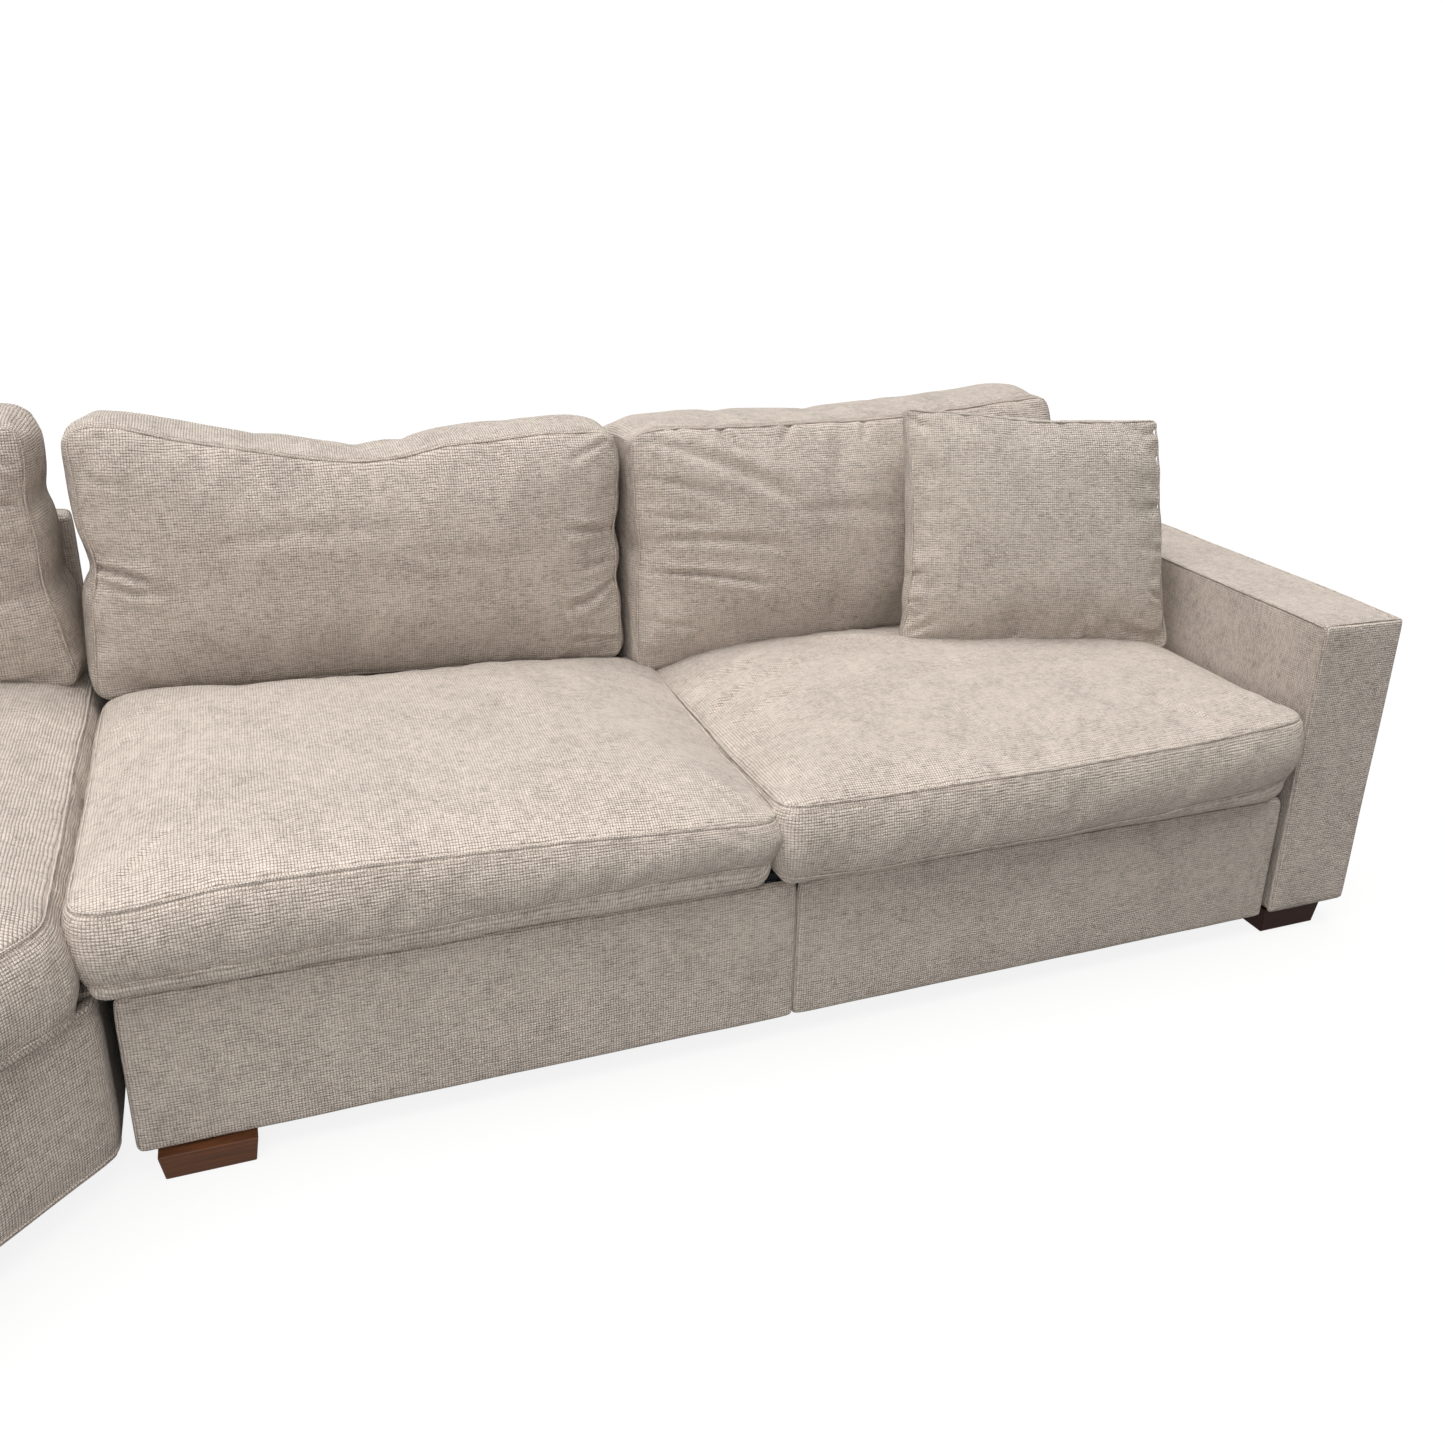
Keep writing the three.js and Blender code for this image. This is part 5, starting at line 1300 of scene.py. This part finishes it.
class SOFA_OT_wedge_cushions(bpy.types.Operator):
    """Builds the seat cushion and the two back cushions of the corner wedge"""

    bl_idname = "sofa.wedge_cushions"
    bl_label = "Wedge cushions"

    def execute(self, context):
        wedge_seat_cushion()
        low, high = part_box("wedge_rear_cushion")
        place = Matrix.Translation((0, high.y, low.z)) @ STAND
        standing_cushion(
            "wedge_rear_pad", low.x, high.x - 0.028, -0.012, 0.448, WEDGE_TOPS, WEDGE_FOLDS, place, "frame",
            ["wedge_rear_cushion"], 17, WEDGE_PINCHES, (0.03, 0.04), (0.0, 0.026))
        low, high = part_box("wedge_side_cushion")
        place = Matrix.Translation((low.x, 0, low.z)) @ SIDEWAYS
        standing_cushion(
            "wedge_side_pad", low.y, high.y - 0.03, -0.012, 0.448, WEDGE_TOPS, WEDGE_FOLDS, place, "frame",
            ["wedge_side_cushion"], 19, (), (0.03, 0.03))
        return {"FINISHED"}


class SOFA_OT_throw_pillow(bpy.types.Operator):
    """Builds the loose pillow"""

    bl_idname = "sofa.throw_pillow"
    bl_label = "Throw pillow"

    def execute(self, context):
        throw_pillow()
        return {"FINISHED"}


class SOFA_OT_arm(bpy.types.Operator):
    """Builds the cover of the arm"""

    bl_idname = "sofa.arm"
    bl_label = "Arm"

    def execute(self, context):
        covered_wall(
            "right_arm", "arm_cover", False, 0.006, 0.009, 0.007, 0.002, 0.002, ("top", "bottom"), 5, top=ARM_TOP,
            edge_seams=(2, 3), welt=(0.003, 0.003))
        return {"FINISHED"}


class SOFA_OT_frame_covers(bpy.types.Operator):
    """Builds the covered rails, the footrest panels and the shells of the backs"""

    bl_idname = "sofa.frame_covers"
    bl_label = "Frame covers"

    def execute(self, context):
        for i, name in enumerate(SEATS):
            covered_wall(
                f"{name}_footrest_panel", f"{name}_footrest_cover", False, 0.008, 0.017, 0.006, 0.0035, 0, ("top",),
                21 + i, body=f"{name}_footrest")
            back_shell(name, 31 + i)
        covered_wall("rear_rail", "rear_rail_cover", False, 0.006, 0.014, 0.005, 0.001, 0.002, ("bottom",), 41)
        return {"FINISHED"}


class SOFA_OT_wedge_frame(bpy.types.Operator):
    """Builds the covered base and backs of the corner wedge"""

    bl_idname = "sofa.wedge_frame"
    bl_label = "Wedge frame"

    def execute(self, context):
        wedge_base()
        return {"FINISHED"}


class SOFA_OT_feet(bpy.types.Operator):
    """Rounds and stains the wooden feet"""

    bl_idname = "sofa.feet"
    bl_label = "Feet"

    def execute(self, context):
        for node in FEET:
            walnut = node in WALNUT_FEET
            finish, slot = ("walnut_stain", "walnut") if walnut else ("espresso_stain", "dark_wood")
            softened_copy(node, trim().foot_bevel, finish)
        return {"FINISHED"}


class SOFA_OT_mechanism(bpy.types.Operator):
    """Gives the steel, plastic and dust cloth parts their finishes"""

    bl_idname = "sofa.mechanism"
    bl_label = "Mechanism"

    def execute(self, context):
        replaced = {n for o in bpy.context.scene.objects if "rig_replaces" in o for n in o["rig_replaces"]}
        for node, obj in frame["nodes"].items():
            if node in replaced:
                continue
            for part, finish in PART_FINISHES:
                if part in node:
                    obj.data.materials.clear()
                    obj.data.materials.append(finish_of(finish))
                    break
            else:
                raise RuntimeError(f"{node} has no finish")
        return {"FINISHED"}


def seen_straight(node):
    """Whether a ray shows its surface to the camera straight, or by a mirror or glass."""
    rays = node("LightPath").node.outputs
    mirrored = node("Math MAXIMUM", (rays["Is Glossy Ray"], rays["Is Transmission Ray"]))
    return node("Math MAXIMUM", (rays["Is Camera Ray"], mirrored))


def lamp(name, kind, energy, toward, place=(0, 0, 0), **settings):
    """A lamp that shines in one direction."""
    data = bpy.data.lights.new(name, kind)
    data.energy = energy
    for key, value in settings.items():
        setattr(data, key, value)
    obj = in_scene(name, data)
    obj.location = place
    obj.rotation_mode = "QUATERNION"
    obj.rotation_quaternion = Vector(toward).to_track_quat("-Z", "Y")


def pale_floor(studio):
    """Plain floor, nearly white to the camera and darker to the light that it throws back."""
    material, node, shader = new_material("plain_floor")
    seen = seen_straight(node)
    dimmed = [c * studio.floor_bounce for c in studio.floor_color]
    tone = node("Mix", {"Factor": seen, 6: dimmed, 7: studio.floor_color}, 2, data_type="RGBA")
    feed(shader, {"Base Color": tone, "Roughness": 0.8})
    glow = node("Emission", {"Color": (1, 1, 1, 1), "Strength": 1.0})
    white = node("Math MULTIPLY", (seen, studio.floor_white))
    output = next(n for n in material.node_tree.nodes if n.type == "OUTPUT_MATERIAL")
    feed(output, (node("MixShader", (white, shader.outputs[0], glow)),))
    mesh = bpy.data.meshes.new("floor")
    half = 30.0
    mesh.from_pydata([(-half, -half, 0), (half, -half, 0), (half, half, 0), (-half, half, 0)], [], [(0, 1, 2, 3)])
    mesh.materials.append(material)
    in_scene("floor", mesh)


def studio_world(studio):
    """Even light from all sides, and plain white behind the sofa."""
    world = bpy.data.worlds.new("studio")
    bpy.context.scene.world = world
    world.use_nodes = True
    world.node_tree.nodes.clear()
    node = partial(add, world.node_tree)
    even, white = [
        node("Background", {"Color": (1, 1, 1, 1), "Strength": strength}) for strength in (studio.surround, 1.0)]
    node("OutputWorld", {"Surface": node("MixShader", (seen_straight(node), even, white))})


def studio_camera(studio):
    """Camera solved from the photo's straight edges."""
    data = bpy.data.cameras.new("camera")
    data.sensor_width, data.lens = 36.0, studio.lens
    data.shift_x, data.shift_y = CAMERA_SHIFT
    data.clip_start, data.clip_end = 0.05, 200
    camera = in_scene("camera", data)
    right, forward = Vector(CAMERA_RIGHT), Vector(CAMERA_FORWARD)
    turned = Matrix((right, right.cross(forward), -forward)).transposed().to_4x4()
    camera.matrix_world = Matrix.Translation(CAMERA_PLACE) @ turned
    bpy.context.scene.camera = camera


class SOFA_OT_stage(bpy.types.Operator):
    """Builds the floor, the light and the camera"""

    bl_idname = "sofa.stage"
    bl_label = "Stage"

    def execute(self, context):
        studio = context.scene.sofa_studio
        pale_floor(studio)
        studio_world(studio)
        lamp("top_light", "SUN", studio.top_light, (0.13, 0.05, -1.0), angle=math.radians(64))
        lamp("side_light", "SUN", studio.side_light, (0.95, 0.24, -0.42), angle=math.radians(50))
        place = Vector((-0.45, -2.1, 1.25))
        toward = Vector((-0.9, -0.3, 0.35)) - place
        lamp("corner_light", "AREA", studio.corner_light, toward, place, size=1.2)
        studio_camera(studio)
        context.scene.view_settings.view_transform = "Standard"
        return {"FINISHED"}


class SOFA_PT_panel(bpy.types.Panel):
    """Lists the steps that build the sofa"""

    bl_label = "Sectional sofa"
    bl_idname = "SOFA_PT_panel"
    bl_space_type = "VIEW_3D"
    bl_region_type = "UI"
    bl_category = "Sofa"

    def draw(self, context):
        for step in STEPS:
            self.layout.operator(step.bl_idname)


STEPS = (
    SOFA_OT_stage, SOFA_OT_seat_cushions, SOFA_OT_back_cushions, SOFA_OT_wedge_cushions, SOFA_OT_throw_pillow,
    SOFA_OT_arm, SOFA_OT_frame_covers, SOFA_OT_wedge_frame, SOFA_OT_feet, SOFA_OT_mechanism)
GROUPS = (UpholsterySettings, TrimSettings, StudioSettings)
CLASSES = (*GROUPS, *STEPS, SOFA_PT_panel)


def register():
    for cls in CLASSES:
        bpy.utils.register_class(cls)
    bpy.types.Scene.sofa_upholstery = PointerProperty(type=UpholsterySettings)
    bpy.types.Scene.sofa_trim = PointerProperty(type=TrimSettings)
    bpy.types.Scene.sofa_studio = PointerProperty(type=StudioSettings)


def unregister():
    for name in ("sofa_upholstery", "sofa_trim", "sofa_studio"):
        delattr(bpy.types.Scene, name)
    for cls in reversed(CLASSES):
        bpy.utils.unregister_class(cls)


def main():
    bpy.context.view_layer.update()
    register()
    for step in STEPS:
        group, name = step.bl_idname.split(".")
        getattr(getattr(bpy.ops, group), name)()


if __name__ == "__main__":
    main()
